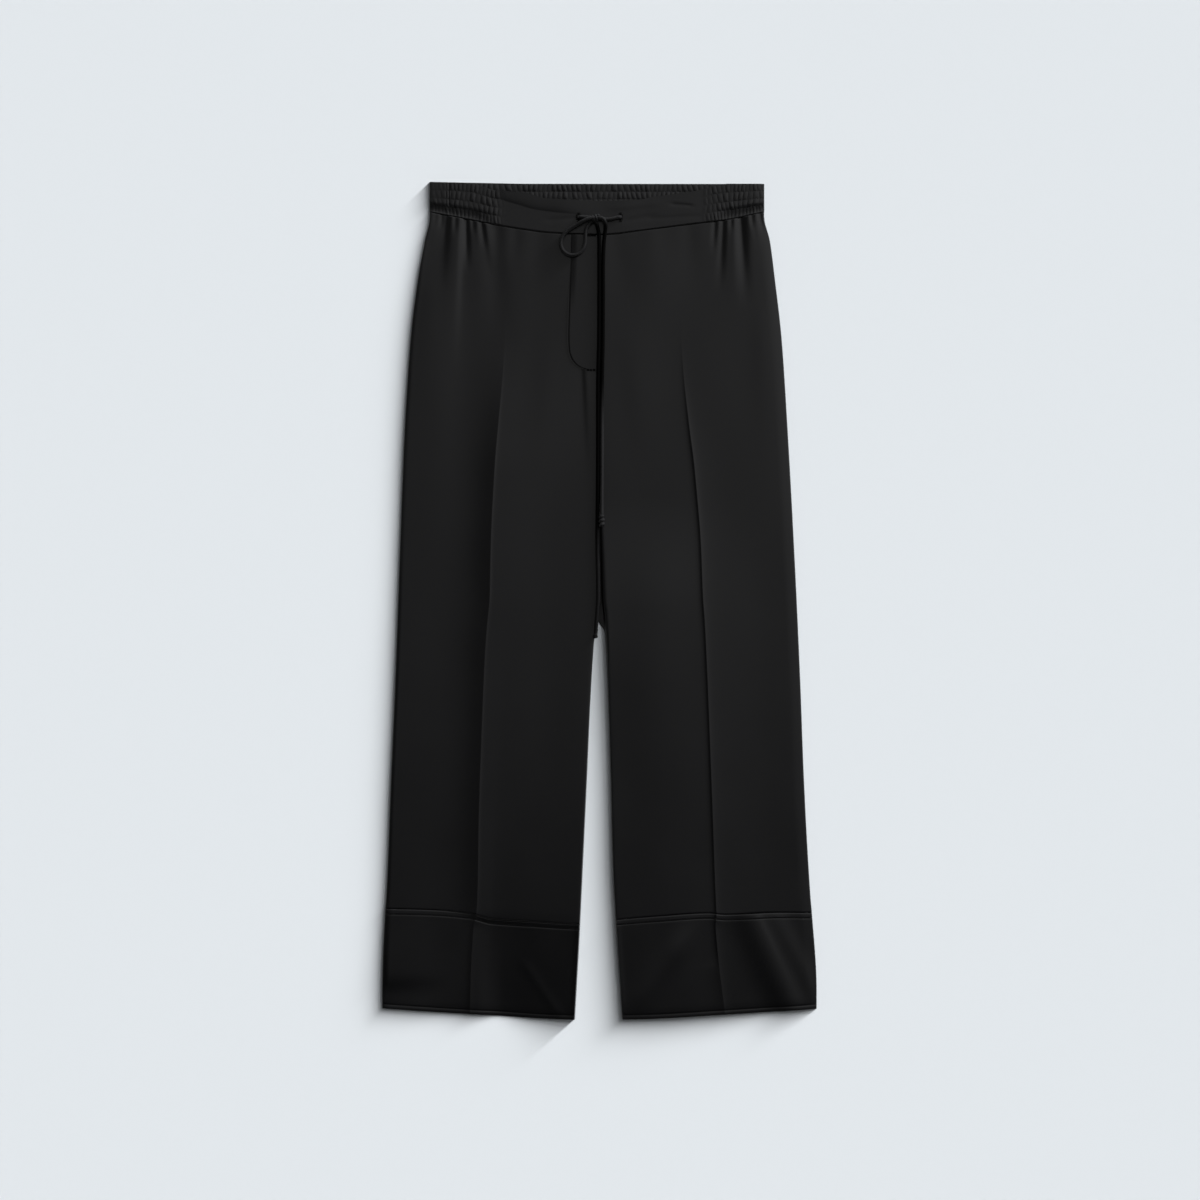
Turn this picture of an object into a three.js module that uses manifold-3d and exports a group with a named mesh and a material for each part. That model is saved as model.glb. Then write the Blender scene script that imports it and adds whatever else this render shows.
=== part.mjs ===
// Drawstring trousers in satin with an elasticated back waist, a mock fly, pressed creases and deep
// hem bands. They are laid flat on their back. Millimetres, +Z up: the front faces +Z, the waist is
// towards +Y and the hems towards -Y. "Right" and "left" are the wearer's, so right is towards -X.
// The origin is on the surface they lie on, under the middle of their outline.
import * as THREE from "three";
import Module from "manifold-3d";
import { mergeVertices } from "three/addons/utils/BufferGeometryUtils.js";

const wasm = await Module();
wasm.setup();

// Driving dimensions
const SEAM_GAP = 0.3; // air between two pieces at a seam, or between a piece and what it lies on
const CLOTH = 1.2; // wall of a leg panel
const BAND_CLOTH = 1.4; // wall of the waistband and the hem bands, which are two cloths thick
const PIPING_CLOTH = 1.8;
const RIB_HEIGHT = 1.4; // how far an elastic rib stands proud of its wall
const LOFT = 3.0; // the inside of the front above the surface, away from the side seams
const EDGE_LOFT = CLOTH + SEAM_GAP; // the same at a side seam, where the front lies on the back
const EDGE_ROLL = 11; // how far in from a side seam the front reaches its full loft
const CROTCH_Y = 117; // below it the two legs only lie against each other
const LEG_ROLL_ABOVE = 40; // how far above the crotch an inseam starts to round off
const LEG_ROLL_LENGTH = 60; // and over what length
const PANEL_TOP_Y = 436; // the middle height of the waist seam
const PANEL_LENGTH = 806; // of a leg panel, from the waist seam to the piping
const WAISTBAND_MID_Y = 470; // the waistband's side edges run straight up through the outline here
const PIPING_WIDTH = 6;
const HEM_DROP = 0.9; // how much lower the front lies at the open hem
const HEM_DROP_REACH = 14;
const BAND_CREASE = 2.0; // height of the pressed crease in a hem band
const BAND_CREASE_SHARE = 0.02; // how fast it falls off, as a share of the leg's width
const FLY_CLOTH = 0.9;
const FLY_RIM_DROP = 0.4; // how much thinner the fly is at its folded edge
const BACK_RIBS = 66;
const SIDE_RIBS = { right: 12, left: 10 };
const RIB_WANDER = 0.22; // how far a rib strays from its even place, as a share of half a pitch
const RIB_UNEVEN = 0.2; // how much lower than RIB_HEIGHT the lowest ribs are, on either side of the mean
const FRONT_BAND_STEPS = 18; // points across the plain front of the waistband
const CORD = 4.4; // diameter of the drawstring
const CORD_SIDES = 8;
const BUTTONHOLE = { x: 24.2, y: 444.8, width: 3.4, height: 8 }; // a slit that the cord squeezes through
const BOW_KNOT = { length: 11.5, radius: 4.9, squash: [1, 0.95, 0.8], tilt: 0.12, at: [-4.4, 443, 9.2] };
const END_KNOTS = { short: { length: 15, radius: 2.9 }, long: { length: 5, radius: 2.7 } };
const KNOT_WRAPS = 2;

const BLACK_SATIN = { color: 0x1c1c1d, roughness: 0.42, metalness: 0 };
const BLACK_SATIN_INSIDE = { color: 0x242425, roughness: 0.55, metalness: 0 };
const BLACK_CORD = { color: 0x161617, roughness: 0.45, metalness: 0 };

// A table is a list of rows with named columns.
function table(columns, rows) {
  return rows.map((row) => Object.fromEntries(columns.map((name, i) => [name, row[i]])));
}

const OUTLINE = table(["y", "right", "left"], [
  [486, -197.8, 191.5], // top of the waistband
  [446, -197.2, 191.2],
  [418.5, -202.7, 197.8],
  [372, -211.2, 203.9],
  [302.5, -219.7, 211.7], // hip
  [186.5, -227.0, 219.2],
  [CROTCH_Y, -229.8, 223.1],
  [1, -234.0, 229.0],
  [-96.6, -237.6, 233.3], // knee
  [-208, -242.4, 237.5],
  [-347, -248.0, 245.3],
  [-361, -249.2, 246.6], // piping
  [-451.5, -252.5, 252.2],
  [-486, -252.5, 252.2], // hem
]);

const INSEAM = table(["y", "right", "left"], [
  [486, -0.15, 0.15],
  [CROTCH_Y, -0.15, 0.15],
  [60, 0.2, 0.9],
  [2, 1.2, 2.4], // where the legs part
  [-14, -1.2, 4.3],
  [-45.5, -6.0, 6.8],
  [-115, -10.4, 9.9],
  [-208, -14.5, 12.8],
  [-301, -18.8, 15.1],
  [-382, -22.6, 19.1],
  [-486, -28.4, 26.1],
]);

const WAIST_SEAM = table(["x", "y"], [
  [-200, 451.5], [-150, 442], [-100, 432.5], [-52, 426.5], [0, 424.5],
  [50, 429.5], [100, 436], [145, 441.5], [195, 452],
]);

const BACK_TOP = table(["x", "y"], [[-200, 485.8], [-140, 484.6], [-82, 483.4], [195, 483]]);

const FRONT_TOP = table(["x", "y"], [
  [-200, 485.6], [-152, 484], [-135, 479.5], [-121, 475], [-88, 473], [-63, 466.5], [0, 463.7],
  [41, 464.3], [64, 468.4], [93, 472], [121, 476.5], [133, 481], [150, 482.8], [195, 482.8],
]);

// Where each leg panel ends and the piping begins, and the hem edge
const PIPING_TOP = table(["x", "y"], [
  [-250, -357.3], [-198, -358.7], [-149, -363], [-125, -369], [-76, -372], [-22, -374.4],
  [18, -370], [69, -365.7], [126, -362.2], [146, -364], [205, -361.8], [248, -362.2],
]);
const HEM_EDGE = table(["x", "y"], [
  [-252.5, -473], [-158, -479.4], [-28.4, -485.7], [26, -485.7], [150, -479.9], [252.2, -473.6],
]);

// The lines that run down a front panel. waist and leg are each line's share of the way from the side
// seam to the inner edge, at the waist seam and down the leg. lift is the height of its gather at the
// waist seam, reach is how far down that fades out, and crease is its height by the pressed crease.
const FRONT_LINES = {
  right: table(["waist", "leg", "lift", "reach", "crease"], [
    [0, 0, 0, 1, 0],
    [0.013, 0.011, 0, 1, 0],
    [0.03, 0.027, 0.3, 30, 0],
    [0.052, 0.055, 0.9, 50, 0],
    [0.079, 0.1, -1.1, 55, 0],
    [0.097, 0.15, 0.8, 80, 0],
    [0.116, 0.2, -1.2, 160, 0],
    [0.138, 0.245, 0.9, 90, 0.05],
    [0.158, 0.28, -1.1, 50, 0.15],
    [0.198, 0.315, 1.8, 170, 0.3],
    [0.226, 0.345, -1.2, 95, 0.5],
    [0.245, 0.37, 0.8, 50, 0.75],
    [0.263, 0.39, -0.9, 50, 1.0],
    [0.29, 0.41, 0.9, 70, 1.3],
    [0.318, 0.43, -1.1, 110, 1.65],
    [0.345, 0.445, 0.8, 90, 1.9],
    [0.372, 0.458, -0.4, 70, 2.15],
    [0.42, 0.467, 0, 1, 2.4],
    [0.46, 0.482, 0, 1, 1.0],
    [0.5, 0.505, 0, 1, 0.3],
    [0.57, 0.57, 0, 1, 0],
    [0.68, 0.68, 0, 1, 0],
    [0.8, 0.8, 0, 1, 0],
    [0.92, 0.92, 0, 1, 0],
    [0.972, 0.972, 0, 1, 0],
    [0.989, 0.989, 0, 1, 0],
    [1, 1, 0, 1, 0],
  ]),
  left: table(["waist", "leg", "lift", "reach", "crease"], [
    [0, 0, 0, 1, 0],
    [0.011, 0.011, 0, 1, 0],
    [0.022, 0.03, -0.5, 30, 0],
    [0.045, 0.055, 0.9, 50, 0],
    [0.07, 0.1, -1.0, 45, 0],
    [0.098, 0.15, 1.0, 70, 0],
    [0.125, 0.2, -1.2, 160, 0],
    [0.15, 0.245, 1.2, 100, 0],
    [0.168, 0.28, 1.6, 120, 0],
    [0.204, 0.315, -0.9, 45, 0],
    [0.226, 0.345, 0.9, 60, 0],
    [0.248, 0.37, -1.1, 105, 0],
    [0.273, 0.395, 0.8, 60, 0],
    [0.298, 0.42, -1.0, 80, 0.05],
    [0.325, 0.44, 0.7, 60, 0.2],
    [0.355, 0.46, -0.3, 50, 0.55],
    [0.4, 0.473, 0, 1, 1.1],
    [0.44, 0.484, 0, 1, 2.2],
    [0.47, 0.497, 0, 1, 1.0],
    [0.51, 0.52, 0, 1, 0.3],
    [0.58, 0.58, 0, 1, 0],
    [0.69, 0.69, 0, 1, 0],
    [0.8, 0.8, 0, 1, 0],
    [0.92, 0.92, 0, 1, 0],
    [0.972, 0.972, 0, 1, 0],
    [0.989, 0.989, 0, 1, 0],
    [1, 1, 0, 1, 0],
  ]),
};
const LINES_SETTLE = 190; // how far below the waist seam the lines reach their place in the leg

// How far the pressed crease lies off its even share of the width, and how high it stands
const CREASE = { right: 0.467, left: 0.484 };
const CREASE_PATH = table(["y", "right", "left", "height"], [
  [460, 0.034, 0.068, 0],
  [300, 0.034, 0.068, 0],
  [270, 0.031, 0.064, 0.35],
  [172, 0.006, 0.025, 1],
  [55, -0.011, -0.003, 1],
  [-75, -0.014, -0.002, 1],
  [-237, -0.01, -0.004, 1],
  [-361, 0.002, 0.002, 0.9],
  [-381, -0.011, 0.012, 0.6],
  [-419, -0.013, 0.008, 0.6],
  [-486, -0.013, -0.016, 0.5],
]);

// Distances below the waist seam at which a leg panel has a row of points
const FRONT_ROWS = [
  0, 6, 14, 25, 40, 58, 80, 108, 142, 180, 225, 270, 308, 345, 390, 432, 450, 480, 540, 610, 680, 750, 806,
];
const BACK_ROWS = [0, 30, 70, 120, 180, 250, 308, 370, 432, 450, 480, 560, 640, 720, 806];
const BACK_LINES = [0, 0.04, 0.16, 0.36, 0.6, 0.84, 0.97, 1];
const BAND_ROWS = [0, 0.12, 0.3, 0.5, 0.7, 0.88, 1];

// Soft slanting folds in the fronts of the hem bands: a line from (x0, y0) to (x1, y1)
const BAND_FOLDS = table(["x0", "y0", "x1", "y1", "width", "height"], [
  [-246, -462, -195, -438, 16, -0.8],
  [-232, -400, -150, -392, 22, 0.7],
  [-92, -392, -48, -478, 20, 0.8],
  [-128, -385, -84, -480, 16, -0.6],
  [176, -378, 226, -470, 13, -0.9],
  [192, -384, 240, -466, 12, 0.9],
  [214, -378, 246, -450, 11, -0.8],
  [80, -470, 122, -405, 18, 0.7],
  [44, -440, 92, -378, 18, -0.6],
]);

// The outer edge of the mock fly, from the waist seam down and round to the centre seam
const FLY_EDGE = table(["y", "x"], [
  [424.5, -34.2], [400, -34.8], [349, -36.5], [306, -37.6], [291, -37.0], [281, -34.0],
  [274, -28.6], [269.5, -21.5], [267, -12.8],
]);
const FLY_INNER_X = -0.8;

// Routes of the drawstring, each from where it starts
const CORD_ROUTES = {
  lead_right: [
    [-24.6, 444.8, 7.1], [-20.0, 444.6, 7.3], [-15.2, 444.4, 7.3], [-11.2, 444.2, 7.4],
  ],
  lead_left: [
    [24.6, 444.8, 7.1], [19.6, 443.9, 7.3], [12.6, 442.3, 7.3], [7.4, 441.9, 7.3], [2.2, 442.4, 7.3],
  ],
  loop: [
    [-10.8, 442.6, 11.9], [-15.0, 441.3, 12.1], [-20.5, 438.6, 11.6], [-26.5, 435.0, 9.8],
    [-34.6, 430.4, 8.4], [-41.3, 424.6, 7.7], [-44.6, 416.8, 7.3], [-43.6, 408.6, 7.3],
    [-38.6, 402.6, 7.9], [-31.2, 400.4, 8.1], [-24.0, 402.4, 8.1], [-18.8, 408.2, 8.1],
    [-16.4, 416.4, 8.1], [-16.2, 425.0, 8.1], [-15.2, 431.4, 8.1], [-11.6, 436.6, 8.2],
  ],
  strand_long: [
    [-3.8, 437.8, 8.3], [-2.0, 432.2, 8.1], [-0.6, 424.0, 8.1], [-0.3, 400, 8.1], [-0.3, 350, 8.1],
    [-0.6, 300, 8.1], [-1.3, 276, 8.1], [-1.9, 256, 7.4], [-2.2, 230, 6.9], [-2.3, 180, 6.9],
    [-2.4, 130, 6.6], [-2.5, 100, 6.1], [-2.6, 80, 6.0], [-2.4, 55, 5.9], [-1.8, 25, 5.8],
    [-1.8, 0, 5.8], [-3.2, -20, 5.8], [-4.4, -38.4, 5.6],
  ],
  strand_short: [
    [2.5, 442.7, 12.1], [5.0, 441.0, 12.2], [6.6, 437.4, 11.3], [7.2, 432.4, 9.6], [6.9, 426.5, 8.5],
    [6.0, 416, 8.1], [5.0, 400, 8.1], [4.7, 350, 8.1], [4.4, 300, 8.1], [3.9, 276, 8.1],
    [3.3, 256, 7.4], [2.9, 230, 6.9], [2.7, 180, 6.9], [2.6, 140, 6.8], [2.6, 120, 6.6],
    [2.6, 102.6, 6.5],
  ],
};
const CORD_STEPS = { lead_right: 2, lead_left: 3, loop: 16, strand_long: 38, strand_short: 28 };

// Interpolates a column of a table with a smooth curve through its rows.
function column(rows, along, name) {
  const ordered = [...rows].sort((a, b) => a[along] - b[along]);
  const slope = (i, j) => (ordered[j][name] - ordered[i][name]) / (ordered[j][along] - ordered[i][along]);
  const last = ordered.length - 1;
  return (at) => {
    const t = Math.min(Math.max(at, ordered[0][along]), ordered[last][along]);
    let i = 0;
    while (i < last - 1 && ordered[i + 1][along] < t) i += 1;
    const span = ordered[i + 1][along] - ordered[i][along];
    const s = (t - ordered[i][along]) / span;
    const here = slope(i, i + 1);
    const before = i > 0 ? slope(i - 1, i) : here;
    const after = i < last - 1 ? slope(i + 1, i + 2) : here;
    // No overshoot: a slope is kept only where its neighbours agree on the direction.
    const startSlope = before * here > 0 ? (2 * before * here) / (before + here) : 0;
    const endSlope = after * here > 0 ? (2 * after * here) / (after + here) : 0;
    const a = ordered[i][name];
    const b = ordered[i + 1][name];
    return a * (1 + 2 * s) * (1 - s) ** 2 + b * s * s * (3 - 2 * s)
      + span * (startSlope * s * (1 - s) ** 2 - endSlope * s * s * (1 - s));
  };
}

const waistSeam = column(WAIST_SEAM, "x", "y");
const backTop = column(BACK_TOP, "x", "y");
const frontTop = column(FRONT_TOP, "x", "y");
const pipingTop = column(PIPING_TOP, "x", "y");
const hemEdge = column(HEM_EDGE, "x", "y");
const sideX = { right: column(OUTLINE, "y", "right"), left: column(OUTLINE, "y", "left") };
const inseamX = { right: column(INSEAM, "y", "right"), left: column(INSEAM, "y", "left") };
const creaseOffset = {
  right: column(CREASE_PATH, "y", "right"),
  left: column(CREASE_PATH, "y", "left"),
};
const creaseHeight = column(CREASE_PATH, "y", "height");

function smooth(t) {
  const s = Math.min(Math.max(t, 0), 1);
  return s * s * (3 - 2 * s);
}

function mix(a, b, t) {
  return a + (b - a) * t;
}

// A rolled edge: 0 at the edge, 1 from EDGE_ROLL inwards.
function roll(distance) {
  return Math.sin((Math.PI / 2) * Math.min(Math.max(distance, 0) / EDGE_ROLL, 1));
}

// The inside height of the front of a leg at (x, y), before its folds.
function frontLoft(side, x, y) {
  const fromSide = Math.abs(x - sideX[side](y));
  const fromInseam = Math.abs(x - inseamX[side](y));
  const isLeg = smooth((CROTCH_Y + LEG_ROLL_ABOVE - y) / LEG_ROLL_LENGTH);
  return mix(EDGE_LOFT, LOFT, roll(fromSide) * mix(1, roll(fromInseam), isLeg));
}

// The closed wall between an outer grid of points and an inner one. Both hold rows of points that
// run towards -Y, each row from -X to +X, and the outer grid lies on the +Z side.
function wall(outer, inner) {
  const rows = outer.length;
  const columns = outer[0].length;
  const positions = [...outer.flat(), ...inner.flat()].flat();
  const top = (i, j) => i * columns + j;
  const under = (i, j) => rows * columns + i * columns + j;
  const index = [];
  const quad = (a, b, c, d) => index.push(a, b, c, a, c, d);
  for (let i = 0; i < rows - 1; i += 1) {
    for (let j = 0; j < columns - 1; j += 1) {
      quad(top(i, j), top(i + 1, j), top(i + 1, j + 1), top(i, j + 1));
      quad(under(i, j), under(i, j + 1), under(i + 1, j + 1), under(i + 1, j));
    }
    quad(top(i, 0), under(i, 0), under(i + 1, 0), top(i + 1, 0));
    quad(top(i, columns - 1), top(i + 1, columns - 1), under(i + 1, columns - 1), under(i, columns - 1));
  }
  for (let j = 0; j < columns - 1; j += 1) {
    quad(top(0, j), top(0, j + 1), under(0, j + 1), under(0, j));
    quad(top(rows - 1, j), under(rows - 1, j), under(rows - 1, j + 1), top(rows - 1, j + 1));
  }
  const geometry = new THREE.BufferGeometry();
  geometry.setAttribute("position", new THREE.Float32BufferAttribute(positions, 3));
  geometry.setIndex(index);
  return geometry;
}

// A wall whose inside is plain from its first row to its last, so it has only those two rows there.
function plainInsideWall(points) {
  const rows = points.length;
  const columns = points[0].length;
  const ends = [points[0], points[rows - 1]];
  const positions = [
    ...points.flat().map((p) => [p.x, p.y, p.outside]),
    ...ends.flat().map((p) => [p.x, p.y, p.inside]),
  ].flat();
  const top = (i, j) => i * columns + j;
  const under = (end, j) => (rows + end) * columns + j;
  const index = [];
  const quad = (a, b, c, d) => index.push(a, b, c, a, c, d);
  for (let j = 0; j < columns - 1; j += 1) {
    for (let i = 0; i < rows - 1; i += 1) {
      quad(top(i, j), top(i + 1, j), top(i + 1, j + 1), top(i, j + 1));
    }
    quad(under(0, j), under(0, j + 1), under(1, j + 1), under(1, j));
    quad(top(0, j), top(0, j + 1), under(0, j + 1), under(0, j));
    quad(top(rows - 1, j), under(1, j), under(1, j + 1), top(rows - 1, j + 1));
  }
  const last = columns - 1;
  for (let i = 0; i < rows - 1; i += 1) {
    index.push(top(i, 0), under(0, 0), top(i + 1, 0));
    index.push(top(i, last), top(i + 1, last), under(0, last));
  }
  index.push(top(rows - 1, 0), under(0, 0), under(1, 0));
  index.push(top(rows - 1, last), under(1, last), under(0, last));
  const geometry = new THREE.BufferGeometry();
  geometry.setAttribute("position", new THREE.Float32BufferAttribute(positions, 3));
  geometry.setIndex(index);
  return geometry;
}

// A wall from one grid of { x, y, inside, outside } points.
function wallOf(points) {
  const grid = (height) => points.map((row) => row.map((p) => [p.x, p.y, p[height]]));
  return wall(grid("outside"), grid("inside"));
}

// Rows are made from the side seam inwards, which is from +X on the left leg.
function fromLowX(side, row) {
  return side === "left" ? [...row].reverse() : row;
}

// The back's two seams run straight across under the front, between the ends of the front's.
const BACK_WAIST_SEAM_Y = 452.3;
const PIPING_ENDS = { right: { side: -250, inner: -22 }, left: { side: 248, inner: 18 } };
const backWaistSeam = () => BACK_WAIST_SEAM_Y;

function backPipingTop(side, x) {
  const { side: outer, inner } = PIPING_ENDS[side];
  return mix(pipingTop(outer), pipingTop(inner), (x - outer) / (inner - outer));
}

// A point at a share of the way across a leg, and at share down of the way from edge above to below.
function legPoint(side, share, down, above, below) {
  let x = mix(sideX[side](0), inseamX[side](0), share);
  let y = 0;
  for (let pass = 0; pass < 4; pass += 1) {
    y = mix(above(x), below(x), down);
    x = mix(sideX[side](y), inseamX[side](y), share);
  }
  return { x, y };
}

// The share of a line once the crease's own path has pushed it, most at the crease and not at all at
// the panel's edges.
function pushedShare(side, share, y) {
  const crease = CREASE[side];
  const near = share < crease ? share / crease : (1 - share) / (1 - crease);
  return share + creaseOffset[side](y) * near;
}

const panelTop = (x) => waistSeam(x) - SEAM_GAP / 2;
const panelFoot = (x) => pipingTop(x) + SEAM_GAP / 2;

function frontPanel(side) {
  const points = FRONT_ROWS.map((below) => {
    const down = below / PANEL_LENGTH;
    const settled = smooth(below / LINES_SETTLE);
    return FRONT_LINES[side].map((line) => {
      const share = pushedShare(side, mix(line.waist, line.leg, settled), PANEL_TOP_Y - below);
      const { x, y } = legPoint(side, share, down, panelTop, panelFoot);
      const fold = line.lift * (1 - smooth(below / line.reach));
      const inside = frontLoft(side, x, y) + fold + line.crease * creaseHeight(y);
      return { x, y, inside, outside: inside + CLOTH };
    });
  });
  return wallOf(points.map((row) => fromLowX(side, row)));
}

function backPanel(side) {
  const top = (x) => backWaistSeam(x) - SEAM_GAP;
  const foot = (x) => backPipingTop(side, x) + SEAM_GAP / 2;
  const points = BACK_ROWS.map((below) =>
    BACK_LINES.map((share) => ({
      ...legPoint(side, share, below / PANEL_LENGTH, top, foot),
      inside: 0,
      outside: CLOTH,
    })),
  );
  return wallOf(points.map((row) => fromLowX(side, row)));
}

// How much the soft folds raise or lower a hem band at (x, y).
function bandFolds(x, y) {
  return BAND_FOLDS.reduce((sum, fold) => {
    const ux = fold.x1 - fold.x0;
    const uy = fold.y1 - fold.y0;
    const length = Math.hypot(ux, uy);
    const along = ((x - fold.x0) * ux + (y - fold.y0) * uy) / length;
    const across = ((x - fold.x0) * uy - (y - fold.y0) * ux) / length;
    const past = Math.max(0, -along, along - length);
    return sum + fold.height * Math.exp(-((across / fold.width) ** 2) - (past / fold.width) ** 2);
  }, 0);
}

// The inside height of a hem band's front: the crease runs on into it, and it sinks to the open hem.
function bandLoft(side, share, x, y) {
  const nearCrease = Math.exp(-Math.abs(share - CREASE[side]) / BAND_CREASE_SHARE);
  const crease = BAND_CREASE * creaseHeight(y) * nearCrease;
  const folds = bandFolds(x, y) * roll(Math.abs(x - sideX[side](y))) * roll(Math.abs(x - inseamX[side](y)));
  const sink = HEM_DROP * smooth(1 - (y - hemEdge(x)) / HEM_DROP_REACH);
  return Math.max(frontLoft(side, x, y) + crease + folds - sink, EDGE_LOFT);
}

// A strip across the front of a leg between two edges. Its lines run on from the panel's.
function frontStrip(side, thickness, rows, above, below) {
  const points = rows.map((down) =>
    FRONT_LINES[side].map((line) => {
      const first = legPoint(side, line.leg, down, above, below);
      const pushed = pushedShare(side, line.leg, first.y);
      const { x, y } = legPoint(side, pushed, down, above, below);
      const inside = bandLoft(side, line.leg, x, y);
      return { x, y, inside, outside: inside + thickness };
    }),
  );
  return wallOf(points.map((row) => fromLowX(side, row)));
}

// The same across the back, flat on the surface.
function backStrip(side, rows, above, below) {
  const points = rows.map((down) =>
    BACK_LINES.map((share) => ({
      ...legPoint(side, share, down, above, below), inside: 0, outside: CLOTH,
    })),
  );
  return wallOf(points.map((row) => fromLowX(side, row)));
}

// The seam at the top of the piping on one face of a leg.
function pipingSeam(side, face) {
  return face === "front" ? pipingTop : (x) => backPipingTop(side, x);
}

function piping(side, face) {
  const seam = pipingSeam(side, face);
  const above = (x) => seam(x) - SEAM_GAP / 2;
  const below = (x) => seam(x) - PIPING_WIDTH + SEAM_GAP / 2;
  if (face === "front") return frontStrip(side, PIPING_CLOTH, [0, 1], above, below);
  return backStrip(side, [0, 1], above, below);
}

function hemBand(side, face) {
  const seam = pipingSeam(side, face);
  const above = (x) => seam(x) - PIPING_WIDTH - SEAM_GAP / 2;
  if (face === "front") return frontStrip(side, BAND_CLOTH, BAND_ROWS, above, hemEdge);
  return backStrip(side, BAND_ROWS, above, hemEdge);
}

// Elastic ribs: a zigzag across, lowest along each row of stitching. A row is a share of the height
// with the share of the full rib that stands there. Two slow waves make place and height uneven.
function ribbedBand(startX, endX, ribs, rows, top, bottom, insideAt, fullWall) {
  const columns = 2 * ribs;
  return rows.map(({ down, rib }) =>
    Array.from({ length: columns + 1 }, (_, j) => {
      const isEdge = j === 0 || j === columns;
      const wander = isEdge ? 0 : RIB_WANDER * Math.sin(j * 2.4 + down * 9);
      const x = mix(startX, endX, (j + wander) / columns);
      const uneven = 1 - RIB_UNEVEN + RIB_UNEVEN * Math.sin(j * 1.7 + down * 5);
      const inside = insideAt(x);
      const crest = j % 2 ? RIB_HEIGHT * rib * uneven : 0;
      return { x, y: mix(top(x), bottom(x), down), inside, outside: inside + fullWall + crest };
    }),
  );
}

const SIDE_ROWS = table(["down", "rib"], [
  [0, 0.5], [0.14, 1], [0.28, 0.25], [0.42, 1], [0.54, 0.25], [0.66, 0.9], [0.78, 0.2], [0.9, 0.8],
  [1, 0.3],
]);
const BACK_BAND_ROWS = table(["down", "rib"], [
  [0, 0.55], [0.13, 1], [0.26, 0.2], [0.39, 1], [0.52, 0.15], [1, 0],
]);
const BAND_SIDE_X = { right: -121.2, left: 130.5 }; // where the plain front meets the elastic sides
const bandEnd = { right: sideX.right(WAISTBAND_MID_Y), left: sideX.left(WAISTBAND_MID_Y) };
const bandFoot = (x) => waistSeam(x) + SEAM_GAP / 2;
const bandRoll = (x) => roll(Math.min(x - bandEnd.right, bandEnd.left - x));
const bandInside = (x) => mix(EDGE_LOFT, LOFT, bandRoll(x));

function waistbandSide(side) {
  const outer = bandEnd[side];
  const inner = BAND_SIDE_X[side] + Math.sign(outer) * (SEAM_GAP / 2);
  const [startX, endX] = side === "right" ? [outer, inner] : [inner, outer];
  const points = ribbedBand(
    startX, endX, SIDE_RIBS[side], SIDE_ROWS, frontTop, bandFoot, bandInside, BAND_CLOTH,
  );
  return plainInsideWall(points);
}

// The ribs of the back die away at the side seams, where the front lies close.
function waistbandBack() {
  const points = ribbedBand(
    bandEnd.right, bandEnd.left, BACK_RIBS, BACK_BAND_ROWS, backTop, backWaistSeam, () => 0, CLOTH,
  );
  const faded = points.map((row) =>
    row.map((p) => ({ ...p, outside: mix(CLOTH, p.outside, bandRoll(p.x)) })),
  );
  return plainInsideWall(faded);
}

// A closed geometry as a manifold solid, for cutting.
function solid(geometry) {
  const bare = new THREE.BufferGeometry();
  bare.setAttribute("position", geometry.getAttribute("position").clone());
  if (geometry.index) bare.setIndex(geometry.index);
  const merged = mergeVertices(bare, 1e-3);
  return new wasm.Manifold(
    new wasm.Mesh({
      numProp: 3,
      vertProperties: merged.getAttribute("position").array,
      triVerts: new Uint32Array(merged.index.array),
    }),
  );
}

function fromSolid(made) {
  const mesh = made.getMesh();
  const geometry = new THREE.BufferGeometry();
  geometry.setAttribute("position", new THREE.Float32BufferAttribute(mesh.vertProperties, 3));
  geometry.setIndex([...mesh.triVerts]);
  return geometry;
}

// The plain front of the waistband, with a soft crown and two buttonholes for the drawstring.
function waistbandFront() {
  const startX = BAND_SIDE_X.right + SEAM_GAP / 2;
  const endX = BAND_SIDE_X.left - SEAM_GAP / 2;
  const crown = table(["down", "rise"], [[0, -0.5], [0.2, 0.1], [0.5, 0.3], [0.8, 0.2], [1, -0.2]]);
  const points = crown.map(({ down, rise }) =>
    Array.from({ length: FRONT_BAND_STEPS + 1 }, (_, j) => {
      const x = mix(startX, endX, j / FRONT_BAND_STEPS);
      const y = mix(frontTop(x), bandFoot(x), down);
      return { x, y, inside: LOFT, outside: LOFT + BAND_CLOTH + rise };
    }),
  );
  const hole = new THREE.CylinderGeometry(0.5, 0.5, 4 * LOFT, 12);
  hole.rotateX(Math.PI / 2);
  hole.scale(BUTTONHOLE.width, BUTTONHOLE.height, 1);
  return [-1, 1].reduce((band, sign) => {
    const cutter = hole.clone().translate(sign * BUTTONHOLE.x, BUTTONHOLE.y, LOFT);
    return fromSolid(solid(band).subtract(solid(cutter)));
  }, wallOf(points));
}

// The mock fly lies on the right front, from the waist seam to where its curve meets the centre.
function fly() {
  const inside = LOFT + CLOTH + SEAM_GAP;
  const points = FLY_EDGE.map(({ x: edge, y }, i) =>
    [0, 0.06, 0.5, 0.94, 1].map((share) => {
      const x = mix(edge, FLY_INNER_X, share);
      const isRim = share === 0 || share === 1;
      const outside = inside + FLY_CLOTH - (isRim ? FLY_RIM_DROP : 0);
      return { x, y: i === 0 ? waistSeam(x) - SEAM_GAP : y, inside, outside };
    }),
  );
  return wallOf(points);
}

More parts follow.
